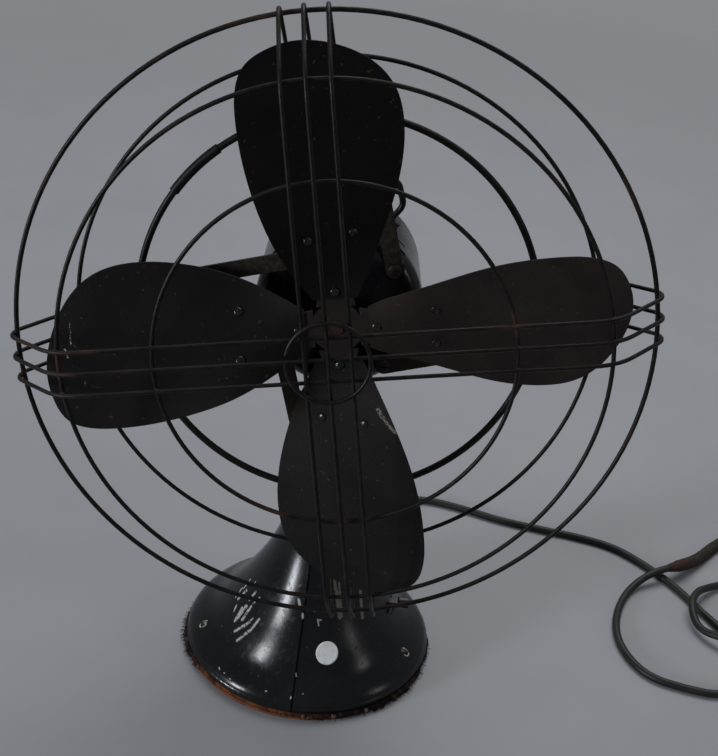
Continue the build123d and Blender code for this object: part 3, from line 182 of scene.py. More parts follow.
soft_light("window", place=(-3.5, -2.6, 0.98), size=(0.75, 1.1), power=120, tint=(0.90, 0.94, 1.0))
soft_light("side", place=(3.2, -0.8, 1.6), size=(0.5, 0.8), power=5, tint=(1.0, 0.98, 0.95))
soft_light("ceiling", place=(0.3, 1.3, 2.6), size=(2.2, 1.6), power=44, tint=(1.0, 1.0, 1.0))

# ---- Camera. It stands where the photographer stood: a little to the right, looking down on the fan, and
# held slightly askew.
CAMERA_PLACE = Vector((0.0686, -0.8850, 0.7598))
CAMERA_AZIMUTH = radians(3.0)
CAMERA_ELEVATION = radians(29.2)
CAMERA_ROLL = radians(-5.9)
FOCAL_PIXELS = 1297.0
PICTURE_HEIGHT = 756.0
SENSOR = 36.0

forward = Vector((-sin(CAMERA_AZIMUTH) * cos(CAMERA_ELEVATION), cos(CAMERA_AZIMUTH) * cos(CAMERA_ELEVATION),
                  -sin(CAMERA_ELEVATION)))
level = Vector((cos(CAMERA_AZIMUTH), sin(CAMERA_AZIMUTH), 0.0))
down = forward.cross(level)
right = cos(CAMERA_ROLL) * level + sin(CAMERA_ROLL) * down
up = sin(CAMERA_ROLL) * level - cos(CAMERA_ROLL) * down
camera = bpy.data.objects.new("camera", bpy.data.cameras.new("camera"))
scene.collection.objects.link(camera)
camera.data.sensor_width = SENSOR
camera.data.lens = FOCAL_PIXELS / PICTURE_HEIGHT * SENSOR
camera.matrix_world = Matrix.Translation(CAMERA_PLACE) @ Matrix((right, up, -forward)).transposed().to_4x4()
scene.camera = camera

# ---- Base plate. A steel disc that closes the pedestal's underside; its edge has rusted orange-brown where
# the felt above it is gone.
RUST = (0.17, 0.055, 0.018)
DULL_RUST = (0.10, 0.034, 0.014)
OLD_RUST = (0.045, 0.018, 0.010)


def wear(node, finish):
    """Gives a CAD node its finish."""
    nodes[node].data.materials.clear()
    nodes[node].data.materials.append(finish)


rusty_plate, tree, surface = new_finish("rusty_plate", 0.85)
streaks = clouds(tree, 0.012, 0.38, 0.62, shift=3.0)
rust = blended(tree, streaks, RUST, DULL_RUST)
colour(tree, surface, blended(tree, clouds(tree, 0.035, 0.46, 0.66), rust, OLD_RUST))
bumped(tree, surface, clouds(tree, 0.0016, 0.3, 0.7, detail=8), 0.0003)
wear("base_plate", rusty_plate)

# ---- Felt. What is left of the pad between plate and rim: brown-black, torn along its edge, hanging in tufts
# over the plate at the front right and stained with rust at the front left.
FELT_LOW, FELT_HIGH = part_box("base_felt")
FELT_INSIDE = 0.097
FELT_OUTSIDE = FELT_HIGH.x
FELT_STEPS = 720
FELT_FOOT = 0.0004
FELT_OVERHANG = 0.0012
FELT_HEM, FELT_LIP = 0.0016, 0.0006
FELT_UNDERCUT, FELT_SHOULDER = 0.0003, 0.001
FELT_DROOP = 0.0042
FELT_DARK = (0.010, 0.008, 0.007)
FELT_BROWN = (0.060, 0.036, 0.024)
RAGGED_AT, RAGGED_OUT = radians(-42), 0.0016
LEFT_AT, LEFT_OUT = radians(-165), 0.0022
MISSING_AT, MISSING_IN = radians(-112), 0.0016
TEARS, SMALL_TEARS, TEAR_DEPTH = 7.0, 31.0, 0.0016
FRAYS, FRAY_DEPTH = 90.0, 0.0010


def near(angle, middle, sharpness):
    """Share from 0 to 1 of how close an angle round the base is to the middle of a stretch."""
    return max(0.0, cos(angle - middle)) ** sharpness


def felt_edge(angle):
    """How far the torn edge stands out past the clean one, and how much it droops."""
    ring = Vector((cos(angle), sin(angle), 0.0))
    torn = noise.noise(ring * TEARS) + 0.6 * noise.noise(ring * SMALL_TEARS + Vector((3, 1, 2)))
    frayed = noise.noise(ring * FRAYS + Vector((8, 2, 5)))
    ragged = near(angle, RAGGED_AT, 2)
    left = near(angle, LEFT_AT, 6)
    missing = near(angle, MISSING_AT, 5)
    out = (FELT_OVERHANG + TEAR_DEPTH * torn + FRAY_DEPTH * frayed + RAGGED_OUT * ragged + LEFT_OUT * left
           - MISSING_IN * missing)
    return out, FELT_DROOP * max(ragged, left) * (0.8 + 0.7 * torn + 0.5 * frayed)


def felt_mesh():
    """The torn ring, one cross-section for each step round it."""
    felt = bmesh.new()
    rings = []
    middle = (FELT_LOW.z + FELT_HIGH.z) / 2
    for step in range(FELT_STEPS):
        angle = tau * step / FELT_STEPS
        out, droop = felt_edge(angle)
        outer = FELT_OUTSIDE + out
        foot = max(FELT_FOOT, FELT_LOW.z - droop)
        hem = max(FELT_OUTSIDE + FELT_LIP, outer - FELT_HEM)
        section = [(FELT_INSIDE, FELT_LOW.z), (FELT_OUTSIDE + FELT_UNDERCUT, FELT_LOW.z), (hem, foot),
                   (outer, max(FELT_FOOT, middle - droop)), (outer - FELT_LIP, FELT_HIGH.z - 0.4 * droop),
                   (FELT_OUTSIDE - FELT_SHOULDER, FELT_HIGH.z), (FELT_INSIDE, FELT_HIGH.z)]
        rings.append([felt.verts.new((r * cos(angle), r * sin(angle), z)) for r, z in section])
    for ring, after in zip(rings, rings[1:] + rings[:1]):
        for k in range(len(ring)):
            j = (k + 1) % len(ring)
            felt.faces.new((ring[k], after[k], after[j], ring[j]))
    bmesh.ops.recalc_face_normals(felt, faces=felt.faces)
    return felt


def finished(made, finish, body):
    """Gives a new piece its finish and the body that it rides on."""
    made.data.materials.clear()
    made.data.materials.append(finish)
    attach(made, body)
    return made


def solid_piece(name, shape, finish, body):
    """An object from a bmesh, with its finish, riding on its body."""
    mesh = bpy.data.meshes.new(name)
    shape.to_mesh(mesh)
    shape.free()
    mesh.polygons.foreach_set("use_smooth", [True] * len(mesh.polygons))
    made = bpy.data.objects.new(name, mesh)
    scene.collection.objects.link(made)
    return finished(made, finish, body)


GROWTH_SOCKETS = {"Least": 2, "Most": 3}


def repeated(name, places, pattern, sizes, counts, finish, body):
    """One mesh of many copies of a small shape, each at its place and facing its own way.

    The pattern is one of Blender's mesh primitives. Its sizes, and the least and most that a copy is scaled
    by, are inputs of the tree, and its counts are fixed."""
    cloud = bpy.data.meshes.new(name + "_places")
    cloud.from_pydata([tuple(place) for place, _ in places], [], [])
    facings = cloud.attributes.new("facing", "FLOAT_VECTOR", "POINT")
    facings.data.foreach_set("vector", [part for _, facing in places for part in facing])
    source = bpy.data.objects.new(name + "_places", cloud)
    scene.collection.objects.link(source)

    tree = bpy.data.node_groups.new(name, "GeometryNodeTree")
    tree.interface.new_socket("Places", in_out="INPUT", socket_type="NodeSocketGeometry")
    tree.interface.new_socket("Copies", in_out="OUTPUT", socket_type="NodeSocketGeometry")
    given = tree.nodes.new("NodeGroupInput")
    result = tree.nodes.new("NodeGroupOutput")
    shape = tree.nodes.new("GeometryNodeMesh" + pattern)
    for count, value in counts.items():
        shape.inputs[count].default_value = value
    copies = tree.nodes.new("GeometryNodeInstanceOnPoints")
    growth = tree.nodes.new("FunctionNodeRandomValue")
    growth.data_type = "FLOAT"
    growth.inputs["Seed"].default_value = 7
    facing = tree.nodes.new("GeometryNodeInputNamedAttribute")
    facing.data_type = "FLOAT_VECTOR"
    facing.inputs["Name"].default_value = "facing"
    turn = tree.nodes.new("FunctionNodeAlignRotationToVector")
    turn.axis = "Z"
    real = tree.nodes.new("GeometryNodeRealizeInstances")
    smooth = tree.nodes.new("GeometryNodeSetShadeSmooth")
    painted = tree.nodes.new("GeometryNodeSetMaterial")
    painted.inputs["Material"].default_value = finish
    settings = {}
    for size, value in sizes.items():
        socket = tree.interface.new_socket(size, in_out="INPUT", socket_type="NodeSocketFloat")
        settings[socket.identifier] = value
        target = growth.inputs[GROWTH_SOCKETS[size]] if size in GROWTH_SOCKETS else shape.inputs[size]
        tree.links.new(given.outputs[size], target)
    tree.links.new(given.outputs["Places"], copies.inputs["Points"])
    tree.links.new(shape.outputs["Mesh"], copies.inputs["Instance"])
    tree.links.new(facing.outputs["Attribute"], turn.inputs["Vector"])
    tree.links.new(turn.outputs["Rotation"], copies.inputs["Rotation"])
    tree.links.new(growth.outputs[1], copies.inputs["Scale"])
    tree.links.new(copies.outputs["Instances"], real.inputs["Geometry"])
    tree.links.new(real.outputs["Geometry"], smooth.inputs["Geometry"])
    tree.links.new(smooth.outputs["Geometry"], painted.inputs["Geometry"])
    tree.links.new(painted.outputs["Geometry"], result.inputs["Copies"])
    modifier = source.modifiers.new(name, "NODES")
    modifier.node_group = tree
    for identifier, value in settings.items():
        modifier[identifier] = value

    bpy.context.view_layer.update()
    mesh = bpy.data.meshes.new_from_object(source.evaluated_get(bpy.context.evaluated_depsgraph_get()))
    mesh.name = name
    made = bpy.data.objects.new(name, mesh)
    scene.collection.objects.link(made)
    bpy.data.objects.remove(source)
    return finished(made, finish, body)


felt_finish, tree, surface = new_finish("felt", 0.95)
surface.inputs["Specular IOR Level"].default_value = 0.1
felt_tone = blended(tree, clouds(tree, 0.006, 0.50, 0.66), FELT_DARK, FELT_BROWN)
place = shader(tree, "TexCoord").outputs["Object"]
bare_side = (cos(MISSING_AT), sin(MISSING_AT), 0.0)
toward = shader(tree, "VectorMath", {0: place, 1: bare_side}, operation="DOT_PRODUCT").outputs["Value"]
stained = shader(tree, "MapRange", {"Value": toward, "From Min": 0.080, "From Max": 0.100}).outputs["Result"]
stain = blended(tree, clouds(tree, 0.010, 0.40, 0.60), RUST, OLD_RUST)
colour(tree, surface, blended(tree, stained, felt_tone, stain))
bumped(tree, surface, clouds(tree, 0.0011, 0.3, 0.7, detail=8), 0.0005)
felt = solid_piece("torn_felt", felt_mesh(), felt_finish, "base")
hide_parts("base_felt")

# Loose fibres stand out where the felt is ragged, and crumbs of it lie along the edge.
FIBRES = 420
FIBRE_SHAPE = {"Radius Top": 0.00012, "Radius Bottom": 0.00040, "Depth": 0.0034, "Least": 0.4, "Most": 1.2}
FIBRE_LOW, FIBRE_RISE = 0.0022, 0.0012
fibre_places = []
for k in range(FIBRES):
    angle = tau * (k + 0.8 * noise.noise(Vector((k * 3.7, 1.0, 0.0)))) / FIBRES
    share = max(near(angle, RAGGED_AT, 2), near(angle, LEFT_AT, 8))
    if share < 0.40 + 0.9 * abs(noise.noise(Vector((k * 1.9, 5.0, 0.0)))):
        continue
    out, droop = felt_edge(angle)
    reach = FELT_OUTSIDE + out
    height = max(FIBRE_LOW, FELT_LOW.z - 0.5 * droop + FIBRE_RISE)
    lean = noise.noise(Vector((k * 2.3, 9.0, 0.0)))
    facing = (cos(angle + lean), sin(angle + lean), -0.35 + 0.6 * noise.noise(Vector((k * 4.1, 2.0, 0.0))))
    fibre_places.append(((reach * cos(angle), reach * sin(angle), height), facing))
repeated("felt_fibres", fibre_places, "Cone", FIBRE_SHAPE, {"Vertices": 5}, felt_finish, "base")

CRUMBS = [  # degrees round the base and millimetres above the lowest
    (-84, 3), (-82, 2), (-80.5, 2.5), (-72, 2), (-70.5, 2.5), (-152, 3), (-148, 2), (-143, 2.5), (-139, 2),
    (-55, 2),
]
CRUMB_SHAPE = {"Radius": 0.0017, "Least": 0.5, "Most": 1.3}
CRUMB_PALE = (0.16, 0.10, 0.085)
CRUMB_BROWN = (0.045, 0.026, 0.018)
CRUMB_REACH = FELT_OUTSIDE + 0.0012
CRUMB_LOW = 0.0018

crumb_finish, tree, surface = new_finish("felt_crumbs", 0.95)
colour(tree, surface, blended(tree, clouds(tree, 0.0015), CRUMB_PALE, CRUMB_BROWN))
bumped(tree, surface, clouds(tree, 0.0007), 0.0004)
crumb_places = []
for degrees_round, height in CRUMBS:
    angle = radians(degrees_round)
    spot = (CRUMB_REACH * cos(angle), CRUMB_REACH * sin(angle), CRUMB_LOW + 0.0010 * height)
    crumb_places.append((spot, (cos(angle), height, 1)))
repeated("felt_crumbs", crumb_places, "IcoSphere", CRUMB_SHAPE, {"Subdivisions": 2}, crumb_finish,
         "base")

# ---- Pedestal. One pressed steel shell, round at the back and drawn to a crease at the front, in gloss black
# enamel. Its marks are scrapes, chips and worn streaks where the guard has knocked it, and bare steel round
# the two screw holes. A thin dark line of painted shade runs down the front crease, near black and without
# reflection.
BLACK = (0.0042, 0.0043, 0.0050)
DUST = (0.026, 0.025, 0.024)
SPECK = (0.11, 0.095, 0.08)
SCRAPED = (0.33, 0.34, 0.315)
WORN = (0.15, 0.14, 0.115)
BARE = (0.34, 0.31, 0.26)
CREASE_SHADE = (0.0010, 0.0008, 0.0008)
CREASE_SIDE = 0.0005
CREASE_INSIDE, CREASE_OUTSIDE = 0.0002, 0.0012
CREASE_BEGINS = -0.02
CREASE_SHADE_STRENGTH = 0.85
ENAMEL_GLINT = 0.26
ENAMEL_DUST = 0.2
SCRAPES = [  # first end, last end and half width, in millimetres
    ((-50.5, -20, 69), (-55.5, -22.5, 60.5), 0.7), ((-45.5, -27.5, 72.5), (-48, -27, 68.5), 0.6),
    ((-57, -21, 59), (-62, -24.5, 51.5), 0.9), ((-52.5, -27.5, 62), (-59, -28.5, 53), 1.3),
    ((-43.5, -35.5, 68.5), (-48, -37.5, 61.5), 1.2), ((-39, -42, 68.5), (-44, -42.5, 61.5), 0.8),
    ((-59.5, -33.5, 50), (-60.5, -37, 46.5), 0.9), ((-45.5, -43.5, 59.5), (-51.5, -48.5, 48.5), 1.3),
    ((-50, -40.5, 56.5), (-57, -45.5, 45), 1.5), ((-53.5, -39.5, 53), (-58, -45.5, 43.5), 1.3),
    ((-44.5, -53.5, 51), (-56.5, -53.5, 39), 1.1), ((-36.5, -55.5, 57), (-42, -59, 48), 1.1),
    ((-42, -59, 48), (-53, -61, 36), 1.2), ((-42, -52.5, 55), (-48.5, -54.5, 46.5), 0.8),
]
CHIPS = [  # the same
    ((-5.5, -55, 83), (-3, -59, 77.5), 1.1), ((-0.5, -61.5, 74), (0, -63.5, 71.5), 0.9),
    ((8.5, -57.5, 77), (8.5, -58.5, 76), 0.6), ((12, -61, 70), (13.5, -63, 65.5), 0.6),
    ((12.5, -61, 69.5), (15, -60, 69), 0.5), ((-64.5, -76, 18), (-63.5, -78, 17), 0.5),
    ((-59.5, -81, 17.5), (-59, -81.5, 17.5), 0.5), ((-53.5, -86, 16.5), (-53, -86.5, 16.5), 0.6),
    ((-22, -97, 19), (-21.5, -97, 19), 0.6), ((0.5, -87.5, 33.5), (1, -88.5, 31.5), 0.5),
    ((-1, -100.5, 18), (-1, -99.5, 19), 0.6), ((8, -97, 21.5), (8.5, -97, 21.5), 0.5),
]
STREAKS = [  # the same
    ((21, -39, 95), (24.5, -43, 85), 1.6), ((24.5, -43, 85), (29.5, -52, 68), 1.9),
    ((25, -36.5, 93.5), (31, -50.5, 68), 1.0), ((42, -23, 80.5), (47.5, -39, 60.5), 1.8),
]
HOLES = ((-0.087, -0.0315), (0.087, -0.0315))
HOLE_EDGE = 0.0036
RAGGED_SCALE = 900.0


def enamel(name, rough):
    """Old black enamel: slightly uneven, dusty in soft patches and finely scratched."""
    material, tree, surface = new_finish(name, rough)
    surface.inputs["Specular IOR Level"].default_value = ENAMEL_GLINT
    dusty = combined(tree, "MULTIPLY", clouds(tree, 0.03, 0.42, 0.74), ENAMEL_DUST)
    tint = blended(tree, dusty, BLACK, DUST)
    tint = blended(tree, clouds(tree, 0.0022, 0.71, 0.74, detail=3), tint, SPECK)
    colour(tree, surface, tint)
    scratches = clouds(tree, 0.004, 0.56, 0.62, stretch=(1, 1, 0.08), detail=8)
    scratches = combined(tree, "MULTIPLY", scratches, 0.1)
    uneven = combined(tree, "ADD", ranged(tree, dusty, rough, rough + 0.28), scratches)
    tree.links.new(uneven, surface.inputs["Roughness"])
    bumped(tree, surface, clouds(tree, 0.0045, 0.2, 0.8, detail=3), 0.00003)
    return material, tree, surface, tint


def marked(tree, strokes, ragged):
    """A mask that is 1 on the strokes, each from one end to the other, with sides this ragged."""
    place = shader(tree, "TexCoord").outputs["Object"]
    torn = shader(tree, "TexNoise", {"Vector": place, "Scale": RAGGED_SCALE, "Detail": 3.0}).outputs["Fac"]
    torn = combined(tree, "MULTIPLY", combined(tree, "SUBTRACT", torn, 0.5), 2 * ragged)
    whole = 0.0
    for first, last, half_width in strokes:
        start = Vector(first) / 1000
        along = Vector(last) / 1000 - start
        out = shader(tree, "VectorMath", {0: place, 1: start}, operation="SUBTRACT").outputs["Vector"]
        share = shader(tree, "VectorMath", {0: out, 1: along / along.length_squared}, operation="DOT_PRODUCT")
        held = shader(tree, "Clamp", {"Value": share.outputs["Value"]}).outputs["Result"]
        spot = shader(tree, "VectorMath", {0: tuple(along), "Scale": held}, operation="SCALE")
        away = shader(tree, "VectorMath", {0: out, 1: spot.outputs["Vector"]}, operation="DISTANCE")
        away = combined(tree, "ADD", away.outputs["Value"], torn)
        edge = half_width / 1000
        mask = shader(tree, "MapRange", {"Value": away, "From Min": 1.15 * edge, "From Max": 0.75 * edge})
        whole = combined(tree, "MAXIMUM", whole, mask.outputs["Result"])
    return whole


shell_finish, tree, surface, tint = enamel("pedestal_enamel", 0.19)
place = shader(tree, "TexCoord").outputs["Object"]
part = shader(tree, "SeparateXYZ", {0: place}).outputs
# Painted shade: a thin near-black line is laid along the front crease, where the fold would fall in shade.
aside = combined(tree, "ABSOLUTE", combined(tree, "SUBTRACT", part["X"], CREASE_SIDE), 0.0)
crease = shader(tree, "MapRange", {"Value": aside, "From Min": CREASE_OUTSIDE, "From Max": CREASE_INSIDE})
front = combined(tree, "LESS_THAN", part["Y"], CREASE_BEGINS)
crease = combined(tree, "MULTIPLY", crease.outputs["Result"], front)
crease = combined(tree, "MULTIPLY", crease, CREASE_SHADE_STRENGTH)
tint = blended(tree, crease, tint, CREASE_SHADE)
streaked = combined(tree, "MULTIPLY", marked(tree, STREAKS, 0.0016), 0.75)
tint = blended(tree, streaked, tint, WORN)
broken = combined(tree, "MULTIPLY", marked(tree, SCRAPES, 0.0014), clouds(tree, 0.0024, 0.36, 0.46))
scraped = combined(tree, "MAXIMUM", broken, marked(tree, CHIPS, 0.0006))
tint = blended(tree, scraped, tint, SCRAPED)
flat = shader(tree, "CombineXYZ", {0: part["X"], 1: part["Y"]}).outputs[0]
rims = 0.0
for x, y in HOLES:
    away = shader(tree, "VectorMath", {0: flat, 1: (x, y, 0.0)}, operation="DISTANCE").outputs["Value"]
    rims = combined(tree, "MAXIMUM", rims, combined(tree, "LESS_THAN", away, HOLE_EDGE))
rims = combined(tree, "MULTIPLY", rims, clouds(tree, 0.003, 0.42, 0.55))
colour(tree, surface, blended(tree, rims, tint, BARE))
glossy = surface.inputs["Roughness"].links[0].from_socket
tree.links.new(ranged(tree, scraped, glossy, 0.85), surface.inputs["Roughness"])
# Painted shade: the crease line is made metallic, so its near-black colour reflects nothing there.
tree.links.new(crease, surface.inputs["Metallic"])
bumped(tree, surface, scraped, -0.00015)
wear("base_shell", shell_finish)

# ---- Paper disc. A round paper sticker on the front of the pedestal, a little soiled and starting to curl at
# its edge. It is bare.
PAPER_WHITE = (0.84, 0.84, 0.83)
PAPER_SOILED = (0.55, 0.55, 0.53)
PAPER_MIDDLE = Vector((0.0231, -0.0731, 0.0467))
PAPER_FACING = Vector((0.36, -0.75, 0.55)).normalized()
PAPER_RADIUS = 0.0095
PAPER_LIFT = 0.00012
PAPER_THICKNESS = 0.00018
PAPER_CURL = 0.00035
PAPER_RINGS = 8
PAPER_SPOKES = 48

shell_mesh = nodes["base_shell"].data
shell_faces = BVHTree.FromPolygons([vertex.co for vertex in shell_mesh.vertices],
                                   [tuple(face.vertices) for face in shell_mesh.polygons])


def on_shell(point, lift):
    """The point moved along the paper's facing onto the pedestal, and out again by the lift."""
    spot = shell_faces.ray_cast(point + 0.02 * PAPER_FACING, -PAPER_FACING)[0]
    return spot + lift * PAPER_FACING


def paper_disc():
    """A thin disc that follows the curved enamel, with a slightly curled edge."""
    level = PAPER_FACING.cross(Vector((0, 0, 1))).normalized()
    rise = level.cross(PAPER_FACING)
    disc = bmesh.new()
    sheets = []
    for base in (PAPER_LIFT, PAPER_LIFT + PAPER_THICKNESS):
        middle = disc.verts.new(on_shell(PAPER_MIDDLE, base))
        rings = []
        for k in range(1, PAPER_RINGS + 1):
            radius = PAPER_RADIUS * k / PAPER_RINGS
            ring = []
            for n in range(PAPER_SPOKES):
                angle = tau * n / PAPER_SPOKES
                flat = PAPER_MIDDLE + radius * (cos(angle) * level + sin(angle) * rise)
                uneven = 1 + noise.noise(Vector((2 * cos(angle), 2 * sin(angle), 0)))
                curl = PAPER_CURL * (k / PAPER_RINGS) ** 6 * uneven
                ring.append(disc.verts.new(on_shell(flat, base + curl)))
            rings.append(ring)
        sheets.append((middle, rings))
    for middle, rings in sheets:
        for n in range(PAPER_SPOKES):
            m = (n + 1) % PAPER_SPOKES
            disc.faces.new((middle, rings[0][n], rings[0][m]))
            for inner, outer in zip(rings, rings[1:]):
                disc.faces.new((inner[n], outer[n], outer[m], inner[m]))
    under, over = sheets[0][1][-1], sheets[1][1][-1]
    for n in range(PAPER_SPOKES):
        m = (n + 1) % PAPER_SPOKES
        disc.faces.new((under[n], under[m], over[m], over[n]))
    bmesh.ops.recalc_face_normals(disc, faces=disc.faces)
    return disc


paper, tree, surface = new_finish("old_paper", 0.8)
soiled = combined(tree, "MULTIPLY", clouds(tree, 0.004, 0.5, 0.75), 0.6)
colour(tree, surface, blended(tree, soiled, PAPER_WHITE, PAPER_SOILED))
bumped(tree, surface, clouds(tree, 0.0012, 0.3, 0.7), 0.00006)
solid_piece("paper_disc", paper_disc(), paper, "base")

# ---- Neck casting, tilting fork, saddle and gearbox. Iron castings in the same black, duller and a little
# rough from the sand mould.
for name in ("neck_casting", "trunnion", "swivel_saddle", "gearbox_case", "gearbox_cover"):
    cast, tree, surface, _ = enamel(name + "_enamel", 0.42)
    bumped(tree, surface, clouds(tree, 0.0012, 0.3, 0.7, detail=6), 0.00012)
    wear(name, cast)

# ---- Motor drum. Two drawn steel cups, open end to open end and held by the tie screws, in the pedestal's
# gloss enamel, which has kept its shine on the shoulders.
drum_finish = enamel("drum_enamel", 0.20)[0]
for name in ("motor_housing", "motor_rear_cover"):
    wear(name, drum_finish)

# ---- Screws, shafts, switch, windings and wheels. Turned, stamped and moulded pieces, most of them inside:
# blackened screws, bare steel, bronze bushes and wheels, copper windings and phenolic mouldings.
STAIN = (0.06, 0.03, 0.015)
PHENOLIC_BLACK = (0.007, 0.006, 0.006)
PHENOLIC_BROWN = (0.014, 0.010, 0.009)


def metal(name, tone, rough):
    """Bare metal, half stained in small patches."""
    material, tree, surface = new_finish(name, rough, metallic=1.0)
    stained = combined(tree, "MULTIPLY", clouds(tree, 0.004, 0.42, 0.66, detail=7), 0.5)
    colour(tree, surface, blended(tree, stained, tone, STAIN))
    tree.links.new(ranged(tree, stained, rough, 0.85), surface.inputs["Roughness"])
    bumped(tree, surface, clouds(tree, 0.0009, 0.3, 0.7, detail=6), 0.00004)
    return material


def rusty_black(name, tone, rust, amount, rough, glint):
    """Blackened steel that rusts through in small patches, by this amount from 0 to 1."""
    material, tree, surface = new_finish(name, rough)
    surface.inputs["Specular IOR Level"].default_value = glint
    patches = combined(tree, "MULTIPLY", clouds(tree, 0.003, 0.45, 0.62, detail=7), amount)
    colour(tree, surface, blended(tree, patches, tone, rust))
    tree.links.new(ranged(tree, patches, rough, 0.9), surface.inputs["Roughness"])
    bumped(tree, surface, clouds(tree, 0.0008, 0.3, 0.7, detail=6), 0.00008)
    return material


steel = metal("steel", (0.30, 0.29, 0.28), 0.42)
lamination = metal("lamination", (0.25, 0.25, 0.26), 0.5)
bronze = metal("bronze", (0.45, 0.30, 0.13), 0.38)
copper = metal("copper", (0.40, 0.16, 0.07), 0.42)
brass = metal("brass", (0.55, 0.42, 0.17), 0.32)
black_screw = rusty_black("black_screw", (0.008, 0.007, 0.007), (0.055, 0.020, 0.012), 0.8, 0.5, 0.3)
dark_steel = rusty_black("dark_steel", (0.020, 0.018, 0.017), (0.060, 0.030, 0.018), 0.6, 0.4, 0.5)
brown_shaft = rusty_black("brown_shaft", (0.020, 0.011, 0.009), (0.075, 0.022, 0.014), 1.0, 0.6, 0.2)
phenolic, tree, surface = new_finish("phenolic", 0.42)
colour(tree, surface, blended(tree, clouds(tree, 0.01), PHENOLIC_BLACK, PHENOLIC_BROWN))
bumped(tree, surface, clouds(tree, 0.002), 0.00003)

for finish, members in (
    (black_screw, ("neck_screw", "tilt_bolt", "tilt_knob", "tie_screws", "saddle_screws", "gearbox_screws",
                   "strap_screws", "base_screws", "handle_feet")),
    (dark_steel, ("switch_lever", "link_rod", "swivel_post", "hub_screw")),
    (brown_shaft, ("rotor_shaft",)),
    (phenolic, ("switch_housing", "lever_knob")),
    (lamination, ("choke_core", "stator_core", "rotor_core")),
    (copper, ("choke_coil", "stator_windings")),
    (steel, ("shaft_worm", "cross_shaft", "crank_shaft")),
    (bronze, ("thrust_washer", "shaft_bushes", "cross_wheel", "crank_wheel")),
    (brass, ("plug_prongs",)),
):
    for member in members:
        wear(member, finish)

# ---- Guard and handle. Steel wires and rings, dipped in black paint that has dulled, gathers dust on top and
# lets brown rust through. The flat straps that carry them on the drum are browner.
WIRE_BLACK = (0.0035, 0.0032, 0.0030)
WIRE_DULL = (0.0085, 0.0074, 0.0066)
WIRE_DUST = (0.042, 0.033, 0.027)
WIRE_RUST = (0.050, 0.022, 0.013)

wire_paint, tree, surface = new_finish("wire_paint", 0.42)
surface.inputs["Specular IOR Level"].default_value = 0.18
rusty = combined(tree, "MULTIPLY", clouds(tree, 0.06, 0.58, 0.72, detail=8), 0.8)
tone = blended(tree, clouds(tree, 0.006, 0.4, 0.6), WIRE_BLACK, WIRE_DULL)
above = shader(tree, "SeparateXYZ", {0: shader(tree, "NewGeometry").outputs["Normal"]}).outputs["Z"]
upper = shader(tree, "MapRange", {"Value": above, "From Min": 0.3}).outputs["Result"]
dusty = combined(tree, "MULTIPLY", upper, clouds(tree, 0.04, 0.35, 0.65, shift=5.0))
tone = blended(tree, combined(tree, "MULTIPLY", dusty, 0.40), tone, WIRE_DUST)
colour(tree, surface, blended(tree, rusty, tone, WIRE_RUST))
matt = combined(tree, "MAXIMUM", rusty, dusty)
tree.links.new(ranged(tree, matt, 0.36, 0.8), surface.inputs["Roughness"])
bumped(tree, surface, clouds(tree, 0.0014, 0.3, 0.7, detail=6), 0.00010)
for node in [name for name in nodes if name.startswith("guard_")] + ["ring_sleeve", "carry_handle"]:
    wear(node, wire_paint)
brown_strap = rusty_black("brown_strap", (0.011, 0.009, 0.007), (0.034, 0.025, 0.016), 0.9, 0.55, 0.25)
wear("guard_straps", brown_strap)

# ---- Weld nuggets. The cross wires are spot welded to the rings, and a small lump of burnt, rusty steel
# stands at each crossing. They are found where a wire passes a ring.
WELD_REACH = 0.0008
WELD_GAP = 0.006
WELD_SHAPE = {"Radius": 0.0019, "Least": 0.65, "Most": 1.1}
RINGS = ("guard_rear_ring", "guard_outer_ring", "guard_front_ring", "guard_inner_ring", "guard_mount_ring")

spin = joints["rotor_spin"]
AXLE_POINT = Vector(spin["pos_m"])
AXLE = Vector(spin["axis"]).normalized()
AXLE_SIDE = AXLE.cross(Vector((0, 0, 1))).normalized()
AXLE_RISE = AXLE_SIDE.cross(AXLE)


def about_axle(point):
    """Height along the axle, distance from it and angle round it."""
    out = point - AXLE_POINT
    height = out.dot(AXLE)
    across, above = out.dot(AXLE_SIDE), out.dot(AXLE_RISE)
    return height, sqrt(across * across + above * above), atan2(above, across)


def ring_line(node):
    """Middle height, middle radius and half thickness of a ring of the guard."""
    rows = [about_axle(vertex.co) for vertex in nodes[node].data.vertices]
    heights = [row[0] for row in rows]
    radii = [row[1] for row in rows]
    lowest, highest = min(heights), max(heights)
    return (lowest + highest) / 2, (min(radii) + max(radii)) / 2, (highest - lowest) / 2


def weld_places():
    """Where the wires pass the rings, each with the direction from the ring towards the wire."""
    rows = []
    for node in ("guard_cross_wires", "guard_upright_wires"):
        rows += [(vertex.co, *about_axle(vertex.co)) for vertex in nodes[node].data.vertices]
    places = []
    for node in RINGS:
        height, radius, thick = ring_line(node)
        close = [(angle, point) for point, along, reach, angle in rows
                 if sqrt((along - height) ** 2 + (reach - radius) ** 2) < thick + WELD_REACH]
        close.sort(key=lambda row: row[0])
        if close:
            close.append((close[0][0] + tau, close[0][1]))
        group = []
        for angle, point in close:
            if group and angle - group[-1][0] > WELD_GAP / radius:
                middle = sum((spot for _, spot in group), Vector()) / len(group)
                turn = about_axle(middle)[2]
                line = AXLE_POINT + height * AXLE + radius * (cos(turn) * AXLE_SIDE + sin(turn) * AXLE_RISE)
                facing = (middle - line).normalized()
                places.append((line + thick * facing, facing))
                group = []
            group.append((angle, point))
    return places


burnt = rusty_black("weld_nuggets", (0.016, 0.012, 0.010), (0.070, 0.030, 0.017), 0.9, 0.6, 0.3)
repeated("weld_nuggets", weld_places(), "IcoSphere", WELD_SHAPE, {"Subdivisions": 2}, burnt,
         "motor")

